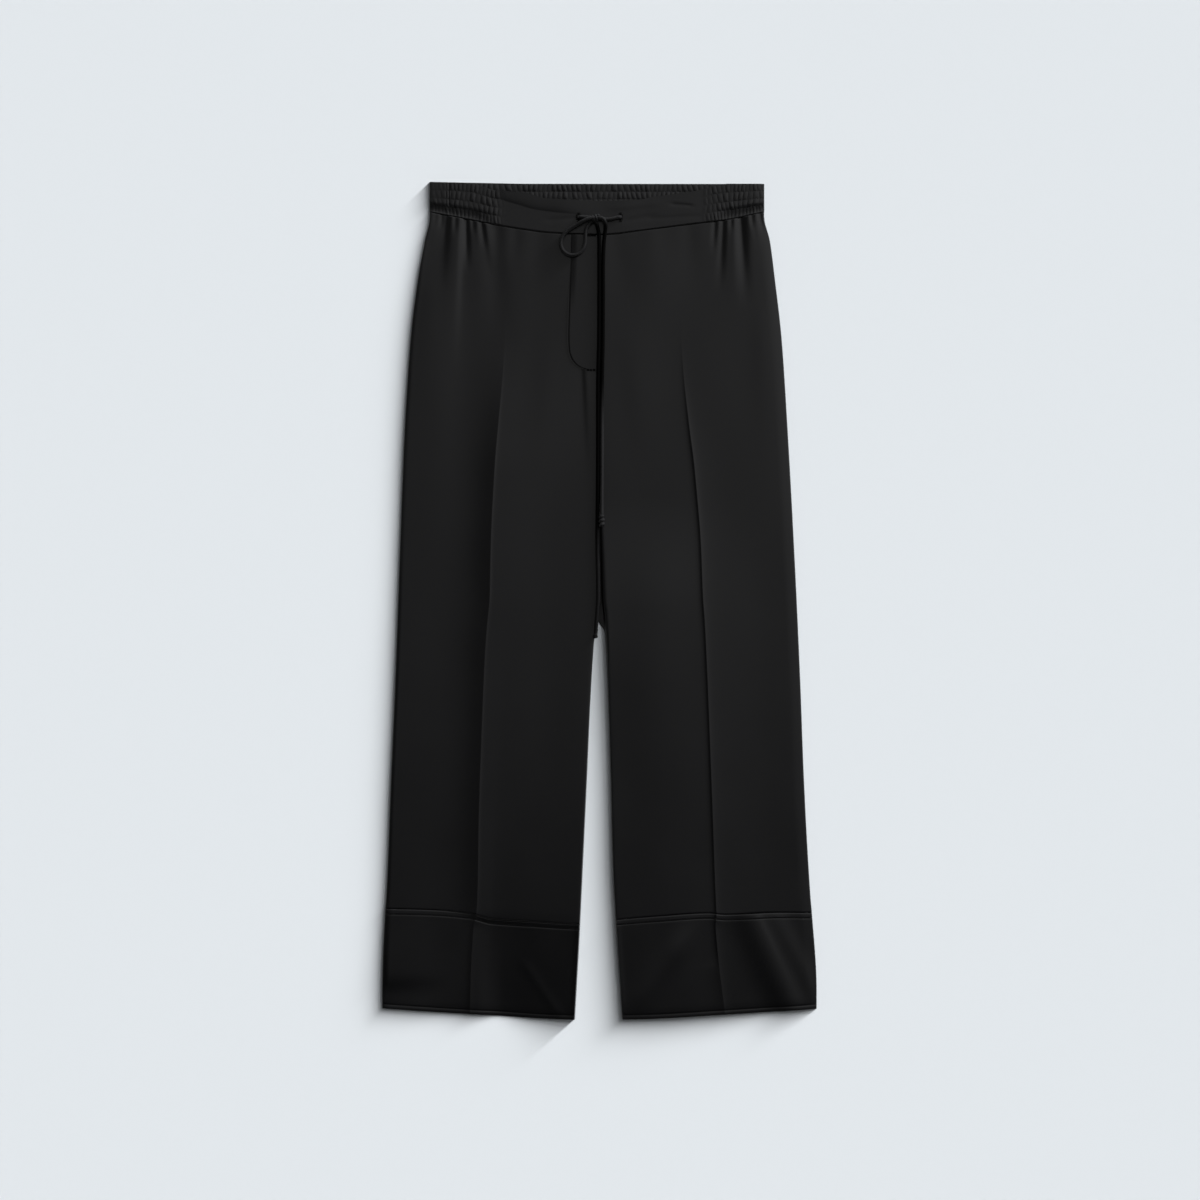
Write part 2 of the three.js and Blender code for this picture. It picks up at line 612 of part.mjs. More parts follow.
// A round cord along a route.
function cord(name) {
  const section = new THREE.Shape();
  for (let i = 0; i < CORD_SIDES; i += 1) {
    const turn = (i / CORD_SIDES) * 2 * Math.PI + Math.PI / CORD_SIDES;
    const point = [(CORD / 2) * Math.cos(turn), (CORD / 2) * Math.sin(turn)];
    if (i) section.lineTo(...point);
    else section.moveTo(...point);
  }
  section.closePath();
  const path = new THREE.CatmullRomCurve3(
    CORD_ROUTES[name].map((p) => new THREE.Vector3(...p)), false, "centripetal",
  );
  const made = new THREE.ExtrudeGeometry(section, {
    steps: CORD_STEPS[name], extrudePath: path, bevelEnabled: false,
  });
  return fromSolid(solid(made));
}

// A knot as a barrel of wraps turned about Y, narrower at its ends and between two wraps.
function barrel({ length, radius }) {
  const profile = [new THREE.Vector2(0, -length / 2)];
  const rings = 4 * KNOT_WRAPS;
  const [endNarrow, wrapDip] = [0.86, 0.14];
  for (let i = 0; i <= rings; i += 1) {
    const along = -1 + (2 * i) / rings;
    const round = Math.sqrt(1 - (endNarrow * along) ** 2);
    const dip = i % 4 === 0 && i > 0 && i < rings ? wrapDip : 0;
    profile.push(new THREE.Vector2(radius * round * (1 - dip), (along * length) / 2));
  }
  profile.push(new THREE.Vector2(0, length / 2));
  return fromSolid(solid(new THREE.LatheGeometry(profile, 12)));
}

// The bow's knot: a flattened barrel across the band.
function bowKnot() {
  const knot = barrel(BOW_KNOT);
  knot.rotateZ(Math.PI / 2);
  knot.scale(...BOW_KNOT.squash);
  knot.rotateZ(BOW_KNOT.tilt);
  return knot.translate(...BOW_KNOT.at);
}

// The knot at the end of a strand, in line with the strand's last stretch.
function endKnot(name) {
  const [before, end] = CORD_ROUTES[`strand_${name}`].slice(-2).map((p) => new THREE.Vector3(...p));
  const along = end.clone().sub(before).normalize();
  const turn = new THREE.Quaternion().setFromUnitVectors(new THREE.Vector3(0, -1, 0), along);
  const knot = barrel(END_KNOTS[name]);
  knot.applyQuaternion(turn);
  const centre = end.addScaledVector(along, END_KNOTS[name].length / 2 + SEAM_GAP);
  return knot.translate(centre.x, centre.y, centre.z);
}

const trousers = new THREE.Group();

function add(group, name, geometry, finish) {
  geometry.computeVertexNormals();
  const mesh = new THREE.Mesh(geometry, new THREE.MeshStandardMaterial({ ...finish, flatShading: true }));
  mesh.name = name;
  group.add(mesh);
}

const legs = new THREE.Group();
for (const side of ["right", "left"]) {
  add(legs, `front_${side}`, frontPanel(side), BLACK_SATIN);
  add(legs, `back_${side}`, backPanel(side), BLACK_SATIN);
  for (const face of ["front", "back"]) {
    add(legs, `hem_piping_${face}_${side}`, piping(side, face), BLACK_SATIN);
    add(legs, `hem_band_${face}_${side}`, hemBand(side, face), BLACK_SATIN);
  }
}
add(legs, "fly", fly(), BLACK_SATIN);
trousers.add(legs);

const waistband = new THREE.Group();
add(waistband, "waistband_front", waistbandFront(), BLACK_SATIN);
add(waistband, "waistband_side_right", waistbandSide("right"), BLACK_SATIN);
add(waistband, "waistband_side_left", waistbandSide("left"), BLACK_SATIN);
add(waistband, "waistband_back", waistbandBack(), BLACK_SATIN_INSIDE);
trousers.add(waistband);

const drawstring = new THREE.Group();
for (const name of Object.keys(CORD_ROUTES)) add(drawstring, `drawstring_${name}`, cord(name), BLACK_CORD);
add(drawstring, "drawstring_knot", bowKnot(), BLACK_CORD);
for (const name of Object.keys(END_KNOTS)) add(drawstring, `end_knot_${name}`, endKnot(name), BLACK_CORD);
trousers.add(drawstring);

export default trousers;
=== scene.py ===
# %% [markdown]
# Black satin drawstring trousers, laid flat on their back and seen from straight above.
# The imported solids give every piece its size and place. This script hides each of them and lays a fine
# shell of cloth in its place, made from the same tables, so that nothing has to be fitted afterwards.

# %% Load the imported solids
import math

import bpy
import numpy as np
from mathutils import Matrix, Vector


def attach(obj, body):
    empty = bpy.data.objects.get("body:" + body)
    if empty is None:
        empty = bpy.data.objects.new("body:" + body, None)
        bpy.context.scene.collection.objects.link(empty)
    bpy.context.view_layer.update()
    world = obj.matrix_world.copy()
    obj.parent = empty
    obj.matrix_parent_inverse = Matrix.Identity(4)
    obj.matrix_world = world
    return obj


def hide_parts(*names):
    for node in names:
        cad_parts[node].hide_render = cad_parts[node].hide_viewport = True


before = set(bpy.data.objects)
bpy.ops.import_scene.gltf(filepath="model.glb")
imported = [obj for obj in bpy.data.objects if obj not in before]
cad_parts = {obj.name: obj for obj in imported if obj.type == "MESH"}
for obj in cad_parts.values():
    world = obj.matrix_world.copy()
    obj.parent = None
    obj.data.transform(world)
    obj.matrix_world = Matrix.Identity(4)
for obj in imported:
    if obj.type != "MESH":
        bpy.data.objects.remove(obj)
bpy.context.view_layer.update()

MM = 0.001  # lengths in the tables are millimetres, and this turns them to metres

# %% [markdown]
# The camera comes first. The photograph is taken from straight above, and its whole width spans
# 1.392 m of the surface, which sets the lens once the camera's height is chosen.

# %% Camera
PHOTO_SPAN = 1.392
CAMERA_HEIGHT = 2.8
SENSOR_MM = 36
AIM = (0.58 * MM, 0.87 * MM, 4 * MM)  # the middle of the photograph, at the height of the cloth

camera = bpy.data.objects.new("camera", bpy.data.cameras.new("camera"))
camera.data.sensor_width = SENSOR_MM
camera.data.lens = SENSOR_MM * CAMERA_HEIGHT / PHOTO_SPAN
camera.location = (AIM[0], AIM[1], AIM[2] + CAMERA_HEIGHT)
bpy.context.scene.collection.objects.link(camera)
bpy.context.scene.camera = camera
print("lens:", round(camera.data.lens, 1), "mm")

# %% [markdown]
# The drawstring is a satin tube, turned right side out, tied in a half bow. One end comes out of the
# right buttonhole, makes the loop and falls as the long strand. The other comes out of the left
# buttonhole and falls as the short strand. Each is one curve with a round bevel: a curve keeps its
# length exactly, and its thickness is one number. The points are listed one by one, as the solids' are.

# %% Routes of the cord
CORD = 4.4 * MM

LONG_ROUTE = np.array([
    [-24.4, 444.9, 2.6], [-24.3, 444.9, 4.8], [-22.8, 444.8, 6.6], [-19.4, 444.6, 7.2],
    [-15.2, 444.4, 7.3], [-9.6, 444.2, 7.6], [-5.4, 444.0, 8.6], [-4.4, 443.6, 10.4],
    [-6.8, 443.2, 11.7], [-10.8, 442.6, 12.0], [-15.0, 441.3, 12.0], [-20.5, 438.6, 11.4],
    [-26.5, 435.0, 9.8], [-34.6, 430.4, 8.4], [-41.3, 424.6, 7.7], [-44.6, 416.8, 7.3],
    [-43.6, 408.6, 7.3], [-38.6, 402.6, 7.9], [-31.2, 400.4, 8.1], [-24.0, 402.4, 8.1],
    [-18.8, 408.2, 8.1], [-16.4, 416.4, 8.1], [-16.2, 425.0, 8.1], [-15.2, 431.4, 8.1],
    [-11.6, 436.6, 8.2], [-7.4, 439.6, 8.4], [-3.8, 437.8, 8.3], [-2.0, 432.2, 8.1],
    [-0.6, 424.0, 8.1], [-0.3, 400, 8.1], [-0.3, 350, 8.1], [-0.6, 300, 8.1], [-1.3, 276, 8.1],
    [-1.6, 256, 7.4], [-1.7, 230, 6.9], [-1.7, 180, 6.9], [-2.0, 130, 6.6], [-2.3, 100, 6.1],
    [-2.6, 80, 6.0], [-2.4, 55, 5.9], [-1.8, 25, 5.8], [-1.8, 0, 5.8], [-3.2, -20, 5.8],
    [-4.4, -38.4, 5.6],
]) * MM
SHORT_ROUTE = np.array([
    [24.4, 444.9, 2.6], [24.3, 444.9, 4.8], [22.8, 444.7, 6.5], [19.0, 443.9, 6.9],
    [12.6, 442.3, 7.3], [7.4, 441.9, 7.3], [2.2, 442.4, 7.3], [-1.6, 442.8, 8.2],
    [-2.4, 443.0, 10.0], [-0.6, 443.0, 11.6], [2.5, 442.7, 12.1], [5.0, 441.0, 12.2],
    [6.6, 437.4, 11.3], [6.9, 432.4, 9.6], [6.3, 426.5, 8.5], [5.2, 416, 8.1], [4.4, 400, 8.1],
    [4.2, 350, 8.1], [3.9, 300, 8.1], [3.4, 276, 8.1], [3.0, 256, 7.4], [2.8, 230, 6.9],
    [2.8, 180, 6.9], [2.7, 140, 6.9], [2.6, 120, 7.1], [2.5, 100.6, 7.3],
]) * MM


def route_length(points):
    return float(np.linalg.norm(np.diff(points, axis=0), axis=1).sum())


def smooth_route(points, per_span=6):
    """A centripetal curve through the points, as a denser list."""
    made = []
    padded = np.vstack([2 * points[0] - points[1], points, 2 * points[-1] - points[-2]])
    for a, b, c, d in zip(padded[:-3], padded[1:-2], padded[2:-1], padded[3:]):
        t0 = 0.0
        t1 = t0 + np.linalg.norm(b - a) ** 0.5
        t2 = t1 + np.linalg.norm(c - b) ** 0.5
        t3 = t2 + np.linalg.norm(d - c) ** 0.5
        for t in np.linspace(t1, t2, per_span, endpoint=False):
            ab = (t1 - t) / (t1 - t0) * a + (t - t0) / (t1 - t0) * b
            bc = (t2 - t) / (t2 - t1) * b + (t - t1) / (t2 - t1) * c
            cd = (t3 - t) / (t3 - t2) * c + (t - t2) / (t3 - t2) * d
            abc = (t2 - t) / (t2 - t0) * ab + (t - t0) / (t2 - t0) * bc
            bcd = (t3 - t) / (t3 - t1) * bc + (t - t1) / (t3 - t1) * cd
            made.append((t2 - t) / (t2 - t1) * abc + (t - t1) / (t2 - t1) * bcd)
    return np.vstack([made, points[-1]])


long_line = smooth_route(LONG_ROUTE)
short_line = smooth_route(SHORT_ROUTE)
print("cords:", round(route_length(long_line), 3), "m and", round(route_length(short_line), 3), "m")

# %% [markdown]
# Cord tubes. A poly spline through the dense line has no handles to tune, and the bevel closes its
# two ends with caps.

# %% Cord objects
CORD_ROUNDNESS = 5  # steps in a quarter turn


def cord_curve(name, line):
    data = bpy.data.curves.new(name, "CURVE")
    data.dimensions = "3D"
    data.bevel_depth = CORD / 2
    data.bevel_resolution = CORD_ROUNDNESS
    data.use_fill_caps = True
    spline = data.splines.new("POLY")
    spline.points.add(len(line) - 1)
    for point, place in zip(spline.points, line):
        point.co = (*place, 1)
    spline.use_smooth = True
    cord = bpy.data.objects.new(name, data)
    bpy.context.scene.collection.objects.link(cord)
    return cord


cord_long = cord_curve("cord_long", long_line)
cord_short = cord_curve("cord_short", short_line)
print("cord thickness:", round(CORD / MM, 1), "mm")

# %% [markdown]
# The pattern of the trousers, as short tables in millimetres. +Y is the waist, and right and left are
# the wearer's. A table is turned into a smooth curve that never overshoots its points, so a few rows
# give a whole edge.

# %% Tables of the cut


def curve_through(rows, along=0, value=1):
    """A smooth function through two columns of a table. It takes and gives arrays."""
    table = np.array(sorted(rows, key=lambda row: row[along]), float)
    x, y = table[:, along], table[:, value]
    step = np.diff(y) / np.diff(x)
    before = np.concatenate([step[:1], step[:-1]])
    after = np.concatenate([step[1:], step[-1:]])

    def agreed(a, b):
        both = a * b
        return np.where(both > 0, 2 * both / np.where(both > 0, a + b, 1), 0)

    start, end = agreed(before, step), agreed(after, step)

    def at(where):
        where = np.clip(where, x[0], x[-1])
        i = np.clip(np.searchsorted(x, where, side="left") - 1, 0, len(step) - 1)
        span = x[i + 1] - x[i]
        s = (where - x[i]) / span
        return (
            y[i] * (1 + 2 * s) * (1 - s) ** 2 + y[i + 1] * s * s * (3 - 2 * s)
            + span * (start[i] * s * (1 - s) ** 2 - end[i] * s * s * (1 - s))
        )

    return at


OUTLINE = [  # y, right, left
    (486, -197.8, 191.5), (446, -197.2, 191.2), (418.5, -202.7, 197.8), (372, -211.2, 203.9),
    (302.5, -219.7, 211.7), (186.5, -227.0, 219.2), (117, -229.8, 223.1), (1, -234.0, 229.0),
    (-96.6, -237.6, 233.3), (-208, -242.4, 237.5), (-347, -248.0, 245.3), (-361, -249.2, 246.6),
    (-451.5, -252.5, 252.2), (-486, -252.5, 252.2),
]
INSEAM = [  # y, right, left
    (486, -0.15, 0.15), (117, -0.15, 0.15), (60, 0.2, 0.9), (2, 1.2, 2.4), (-14, -1.2, 4.3),
    (-45.5, -6.0, 6.8), (-115, -10.4, 9.9), (-208, -14.5, 12.8), (-301, -18.8, 15.1),
    (-382, -22.6, 19.1), (-486, -28.4, 26.1),
]
WAIST_SEAM = [  # x, y
    (-200, 451.5), (-150, 442), (-100, 432.5), (-52, 426.5), (0, 424.5), (50, 429.5), (100, 436),
    (145, 441.5), (195, 452),
]
BACK_TOP = [(-200, 486.1), (-140, 485.2), (-82, 484.2), (195, 483.9)]
FRONT_TOP = [
    (-200, 485.9), (-152, 484.7), (-135, 480.3), (-121, 476), (-88, 473.5), (-63, 467), (0, 463.9),
    (41, 464.6), (64, 468.8), (93, 472.6), (121, 477.4), (133, 481.8), (150, 483.7), (195, 483.7),
]
PIPING_TOP = [
    (-250, -357.3), (-198, -358.7), (-149, -363), (-125, -369), (-76, -372), (-22, -374.4),
    (18, -370), (69, -365.7), (126, -362.2), (146, -364), (205, -361.8), (248, -362.2),
]
HEM_EDGE = [
    (-252.5, -473), (-158, -479.4), (-28.4, -485.7), (26, -485.7), (150, -479.9), (252.2, -473.6),
]
FLY_EDGE = [  # y, x
    (424.5, -34.2), (400, -34.8), (349, -36.5), (306, -37.6), (291, -37.0), (281, -34.0),
    (274, -28.6), (269.5, -21.5), (267, -12.8),
]
CREASE_PATH = [  # y, how far off the straight one as a share of the right leg and the left one, height
    (460, 0.034, 0.068, 0), (345, 0.034, 0.068, 0), (300, 0.034, 0.068, 0.06),
    (270, 0.031, 0.064, 0.22), (210, 0.016, 0.043, 0.7), (150, 0.001, 0.017, 1),
    (55, -0.011, -0.003, 1), (-75, -0.014, -0.002, 1), (-237, -0.01, -0.004, 1),
    (-361, 0.002, 0.002, 0.9), (-381, -0.011, 0.012, 0.6), (-419, -0.013, 0.008, 0.6),
    (-486, -0.013, -0.016, 0.5),
]

side_x = {"right": curve_through(OUTLINE, 0, 1), "left": curve_through(OUTLINE, 0, 2)}
inseam_x = {"right": curve_through(INSEAM, 0, 1), "left": curve_through(INSEAM, 0, 2)}
crease_offset = {"right": curve_through(CREASE_PATH, 0, 1), "left": curve_through(CREASE_PATH, 0, 2)}
crease_height = curve_through(CREASE_PATH, 0, 3)
waist_seam = curve_through(WAIST_SEAM)
back_top = curve_through(BACK_TOP)
front_top = curve_through(FRONT_TOP)
piping_top = curve_through(PIPING_TOP)
hem_edge = curve_through(HEM_EDGE)
HEM_Y = -480
print("leg openings, flat, in mm:", [
    round(abs(float(inseam_x[side](HEM_Y) - side_x[side](HEM_Y))), 1) for side in ("right", "left")
])

# %% [markdown]
# Heights. The front lies a few millimetres above the surface, on the back, and comes down to it at
# the side seams and, below the crotch, at the inseams. These sizes are the solids' own. The cloth
# itself is drawn 0.6 mm thick here, which is nearer to satin than the solids' walls are.

# %% Sizes and small helpers
CLOTH = 0.6
SOLID_CLOTH, BAND_CLOTH, PIPING_CLOTH = 1.2, 1.4, 1.8  # the solids' walls, whose outsides are kept
LOFT = 3.0  # from the surface to the front's underside
SEAM_GAP = 0.3
EDGE_ROLL = 11  # the back band's ribs fade over this at its ends
CROTCH_Y = 117  # the legs part here, though their edges lie close for another 90 mm
LEG_ROLL_ABOVE, LEG_ROLL_LENGTH = 40, 60  # where the inseams begin to lean down
SIDE_FALL = {"right": (4, 0.3), "left": (14, 1.2)}  # reach and drop of the lean at the side seam
INSEAM_FALL = (4, 0.3)
INSEAM_LIFT = {  # how far the cloth stands up: its height, where across and the y where it grows
    "right": {"height": 7.2, "crest": 0, "reach": 104, "start": 90, "end": -430},
    "left": {"height": 3.4, "crest": 60, "reach": 190, "start": 120, "end": -10},
}
LIFT_AT_SEAM, LIFT_GAIN = 0.72, 0.28  # the left leg's rise at its inseam, and what the crest adds
LIFT_EASE, HUMP_EASE = 1.25, 1.5  # how much faster than evenly the rises die away
CROTCH_HUMP = {"height": 1.4, "middle": -50, "half_length": 80, "reach": 95}  # the seams are thick there
EDGE_DROP = 2.6  # the rounded edge at a side seam or an inseam, down towards the back
PIPING_WIDTH = 6
HEM_DROP = 0.35
HEM_DROP_REACH = 14
WAISTBAND_MID_Y = 470
CREASE = {"right": 0.467, "left": 0.484}  # its place, as a share of the way from side seam to inseam
SIDES = ("right", "left")
print("front's outside above the surface:", round(LOFT + SOLID_CLOTH, 1), "mm")


def smooth(t):
    s = np.clip(t, 0, 1)
    return s * s * (3 - 2 * s)


def mix(a, b, t):
    return a + (b - a) * t


def bell(t):
    return np.exp(-(t**2))


def to_side(side, x, y):
    return np.abs(x - side_x[side](y))


def to_inseam(side, x, y):
    return np.abs(x - inseam_x[side](y))


def roll(distance):
    return np.sin(np.pi / 2 * np.clip(distance / EDGE_ROLL, 0, 1))


def rounded(distance, radius, drop):
    """How far a folded edge falls away within radius of it: 0 inwards, drop at the edge."""
    s = 1 - np.clip(distance / radius, 0, 1)
    return drop * (1 - np.sqrt(1 - s * s))


def ditch(distance, width, depth):
    """A narrow groove along a line of sewing."""
    return depth * bell(distance / width)


def fall(distance, reach, drop):
    """How far the cloth leans down towards an edge."""
    return drop * (1 - np.sin(np.pi / 2 * np.clip(distance / reach, 0, 1)))


def lift(side, distance, y):
    """The cloth rises from the inseam to a low crest, and falls from there to nothing at reach."""
    sizes = INSEAM_LIFT[side]
    crest, reach = sizes["crest"], sizes["reach"]
    beyond = np.clip((distance - crest) / (reach - crest), 0, 1)
    grown = sizes["height"] * smooth((y - sizes["start"]) / (sizes["end"] - sizes["start"]))
    if crest == 0:
        return grown * (1 - beyond) ** LIFT_EASE
    hump = CROTCH_HUMP["height"] * bell((y - CROTCH_HUMP["middle"]) / CROTCH_HUMP["half_length"])
    hump = hump * np.clip(1 - distance / CROTCH_HUMP["reach"], 0, 1) ** HUMP_EASE
    rise = LIFT_AT_SEAM + LIFT_GAIN * smooth(distance / crest)
    return grown * rise * (1 - smooth(beyond)) + hump


def front_loft(side, x, y):
    """The height of the front's underside. It leans down most at the left side seam."""
    from_inseam = to_inseam(side, x, y)
    is_leg = smooth((CROTCH_Y + LEG_ROLL_ABOVE - y) / LEG_ROLL_LENGTH)
    lean = fall(to_side(side, x, y), *SIDE_FALL[side]) + is_leg * fall(from_inseam, *INSEAM_FALL)
    return LOFT + lift(side, from_inseam, y) - lean


def leg_points(side, shares, downs, above, below):
    """x and y on a grid: downs is the way from the edge above to the one below, shares the way in."""
    share, down = np.broadcast_arrays(shares, downs)
    x = mix(side_x[side](0.0), inseam_x[side](0.0), share)
    for _ in range(4):  # x and y each need the other, and this many rounds settle both
        y = mix(above(x), below(x), down)
        x = mix(side_x[side](y), inseam_x[side](y), share)
    return x, y


def pushed(side, shares, y):
    """The shares once the crease's own path has pushed the lines near it."""
    crease = CREASE[side]
    near = np.where(shares < crease, shares / crease, (1 - shares) / (1 - crease))
    return shares + crease_offset[side](y) * near


# %% [markdown]
# A shell is a closed wall: an outer grid of points, the same grid a cloth's thickness lower, and a
# rim that joins the two. Numpy makes the whole grid at once, and one call hands it to Blender.

# %% The shell
LOWEST = 0.03  # no shell sinks into the table
SHARP_ANGLE = math.radians(50)  # rims steeper than this stay crisp, and folds stay smooth


def new_object(name, points, faces, smooth_faces=True):
    mesh = bpy.data.meshes.new(name)
    mesh.from_pydata(np.asarray(points) * MM, [], faces)
    mesh.polygons.foreach_set("use_smooth", np.full(len(mesh.polygons), smooth_faces))
    mesh.set_sharp_from_angle(angle=SHARP_ANGLE)
    mesh.update()
    made = bpy.data.objects.new(name, mesh)
    bpy.context.scene.collection.objects.link(made)
    return made


def shell(name, x, y, outer, inner):
    """A closed wall between two heights. Rows run towards -Y, and columns are sorted by rising x."""
    outer, inner = np.maximum(outer, LOWEST + CLOTH), np.maximum(inner, LOWEST)
    if x[0, 0] > x[0, -1]:
        x, y, outer, inner = (grid[:, ::-1] for grid in (x, y, outer, inner))
    rows, columns = x.shape
    points = np.concatenate([np.stack([x, y, z], -1).reshape(-1, 3) for z in (outer, inner)])
    index = np.arange(rows * columns).reshape(rows, columns)
    under = index + rows * columns

    def quads(a, b, c, d):
        return np.stack([a, b, c, d], -1).reshape(-1, 4)

    faces = np.concatenate([
        quads(index[:-1, :-1], index[1:, :-1], index[1:, 1:], index[:-1, 1:]),
        quads(under[:-1, :-1], under[:-1, 1:], under[1:, 1:], under[1:, :-1]),
        quads(index[:-1, 0], under[:-1, 0], under[1:, 0], index[1:, 0]),
        quads(index[:-1, -1], index[1:, -1], under[1:, -1], under[:-1, -1]),
        quads(index[0, :-1], index[0, 1:], under[0, 1:], under[0, :-1]),
        quads(index[-1, :-1], under[-1, :-1], under[-1, 1:], index[-1, 1:]),
    ])
    made = new_object(name, points, faces.tolist())
    print(name, "faces:", len(faces))
    return made


print("cloth drawn", CLOTH, "mm thick")

# %% [markdown]
# Folds are placed one by one. Each row of a table is one soft trough (a height below 0) or ridge, from
# where it is deepest to where it has died away, with its half width at both ends. A step is the other
# kind: the cloth is lower on one side of the line than on the other, so only one flank shows.

# %% Folds
FADE_IN, WIDTH_SHARE = 5, 3.5  # a wide fold begins more slowly than a narrow one
EVEN_FADE = 2.5  # how far an even fold runs past its ends, in widths
STEP_REACH = 7  # how far a step is felt on both sides, in widths


def along_line(x, y, row):
    """Way along a row's line, way across it, and the half width there."""
    x0, y0, x1, y1, width0, width1 = row[:6]
    ux, uy = x1 - x0, y1 - y0
    length = math.hypot(ux, uy)
    along = ((x - x0) * ux + (y - y0) * uy) / length
    across = ((x - x0) * uy - (y - y0) * ux) / length
    return along, across, mix(width0, width1, np.clip(along / length, 0, 1)), length


def fading(along, length, width):
    """Full strength at the line's start, and none at its end."""
    return (1 - smooth(along / length)) * bell(np.minimum(along, 0) / (FADE_IN + WIDTH_SHARE * width))


def folds(x, y, rows, even=False):
    """The sum of the folds at (x, y). An even fold keeps its height, and the others fade to their end."""
    total = np.zeros_like(x)
    for row in rows:
        along, across, width, length = along_line(x, y, row)
        past = np.maximum(0, np.maximum(-along, along - length))
        strength = bell(past / (EVEN_FADE * width)) if even else fading(along, length, row[4])
        total += row[6] * strength * bell(across / width)
    return total


def steps(x, y, rows):
    """The cloth stands higher on the left of a line that runs down, by the row's height."""
    total = np.zeros_like(x)
    for row in rows:
        along, across, width, length = along_line(x, y, row)
        window = bell(across / (STEP_REACH * width))
        total += row[6] / 2 * np.tanh(across / width) * window * fading(along, length, row[4])
    return total


GATHERS = {  # below the elastic: x0, y0, x1, y1, half widths, height
    "right": [
        (-190.0, 449, -192.0, 428, 2.2, 3.5, -0.5),
        (-183.0, 446, -184.5, 428, 1.8, 3.0, -0.8),
        (-176.6, 447, -180.0, 400, 2.4, 4.0, -0.5),
        (-167.0, 444, -167.6, 420, 2.0, 3.0, -0.9),
        (-154.8, 442, -153.8, 376, 2.5, 4.4, -2.3),
        (-147.1, 441, -147.0, 422, 2.2, 3.0, -0.9),
        (-142.0, 440, -139.0, 398, 2.0, 4.0, 0.5),
        (-136.7, 440, -131.5, 402, 2.0, 3.0, -0.7),
        (-121.0, 428, -118.0, 262, 9.0, 20.0, -1.1),
    ],
    "left": [
        (133.8, 441, 131.6, 398, 1.8, 3.2, -1.1),
        (139.5, 441, 137.0, 400, 2.0, 4.0, 0.5),
        (143.6, 442, 139.4, 352, 2.4, 5.0, -1.4),
        (152.8, 443, 152.6, 424, 1.8, 3.0, -1.0),
        (157.0, 444, 158.5, 330, 3.0, 8.0, 0.7),
        (163.6, 447, 170.4, 336, 3.2, 7.0, -1.7),
        (173.2, 447, 179.6, 398, 2.2, 5.0, 0.5),
        (176.4, 448, 177.0, 428, 1.7, 2.6, -1.2),
        (182.0, 449, 187.0, 400, 2.2, 4.5, 0.5),
        (185.6, 450, 191.0, 424, 1.9, 3.0, -1.2),
    ],
}
GATHER_STEPS = {  # the gathers that show one flank only, and slow turns of the cloth further down
    "right": [
        (-174.8, 448, -180.5, 345, 2.3, 5.0, -1.9), (-159.2, 447, -167.0, 255, 1.5, 4.0, 1.6),
        (-135.1, 440, -123.0, 365, 1.6, 4.0, -1.4), (-186.0, 448, -190.0, 400, 3.0, 5.0, 0.5),
        (-166.0, 350, -188.0, -60, 14.0, 20.0, 1.5),
        (-196.0, -90, -204.0, -700, 34.0, 40.0, 2.6),
    ],
    "left": [
        (145.3, 443, 141.6, 340, 2.0, 5.0, -1.1), (168.0, 448, 175.5, 330, 3.0, 6.5, -1.0),
        (157.0, 444, 160.0, 320, 3.0, 8.0, 0.7), (181.0, 449, 186.0, 380, 2.5, 5.0, 0.5),
    ],
}
FRONT_STEPS = [(-18.2, 266, -12.0, 130, 1.5, 3.0, -0.8)]  # below the foot of the fly
DRAG_LINES = {  # long soft ones over the hips, the stomach and the thighs
    "right": [
        (-70.0, 418, -82.0, 330, 12.0, 22.0, -0.45),
        (-97.0, 428, -104.0, 330, 7.0, 16.0, -0.35),
        (-196.0, 330, -204.0, 190, 12.0, 20.0, 0.3),
        (-60.0, 250, -74.0, 60, 16.0, 26.0, 0.35),
    ],
    "left": [
        (20.0, 415, 32.0, 300, 12.0, 22.0, -0.35),
        (60.0, 424, 66.0, 300, 12.0, 26.0, 0.3),
        (104.0, 430, 108.0, 330, 9.0, 20.0, -0.35),
        (26.0, 240, 36.0, 60, 14.0, 26.0, -0.3),
        (190.0, 300, 200.0, 60, 12.0, 22.0, 0.4),
    ],
}
BAND_FOLDS = [  # slanting folds in the hem bands
    (-262, -479, -214, -475, 9, 9, 0.45), (-81, -430, -49, -477, 6, 6, 0.3),
    (84, -410, 52, -456, 13, 13, 1.2), (180, -374, 222, -470, 21, 20, 2.7),
    (205, -368, 245, -446, 11, 11, 0.8),
]
BAND_STEPS = [  # a dark corner, a light edge, and the outer half's slow turn to the light
    (-262, -447, -160, -440, 8, 7, -1.9), (187, -368, 238, -478, 2.6, 3.4, 0.4),
    (-200, -300, -204, -900, 40, 40, 2.2),
]


HAND_PLACED = sum(len(rows) for table in (GATHERS, GATHER_STEPS, DRAG_LINES) for rows in table.values())
print("folds placed by hand on the legs:", HAND_PLACED + len(FRONT_STEPS) + len(BAND_FOLDS + BAND_STEPS))

MOST_TURN = 0.9  # radians. The waves lie mostly across the leg, so they run down it
ALONG_SHARE = 0.45  # they are drawn out along the leg


def unevenness(x, y, seed, height, shortest=55, longest=190, waves=14):
    """The slight waviness of cloth that was laid down by hand, as a sum of slow waves."""
    random = np.random.default_rng(seed)
    total = np.zeros_like(x)
    for _ in range(waves):
        length = random.uniform(shortest, longest)
        turn = random.uniform(-MOST_TURN, MOST_TURN)
        phase = random.uniform(0, 2 * np.pi)
        total += length * np.sin(
            2 * np.pi * (x * math.cos(turn) + ALONG_SHARE * y * math.sin(turn)) / length + phase
        )
    return height * total / (waves * longest)


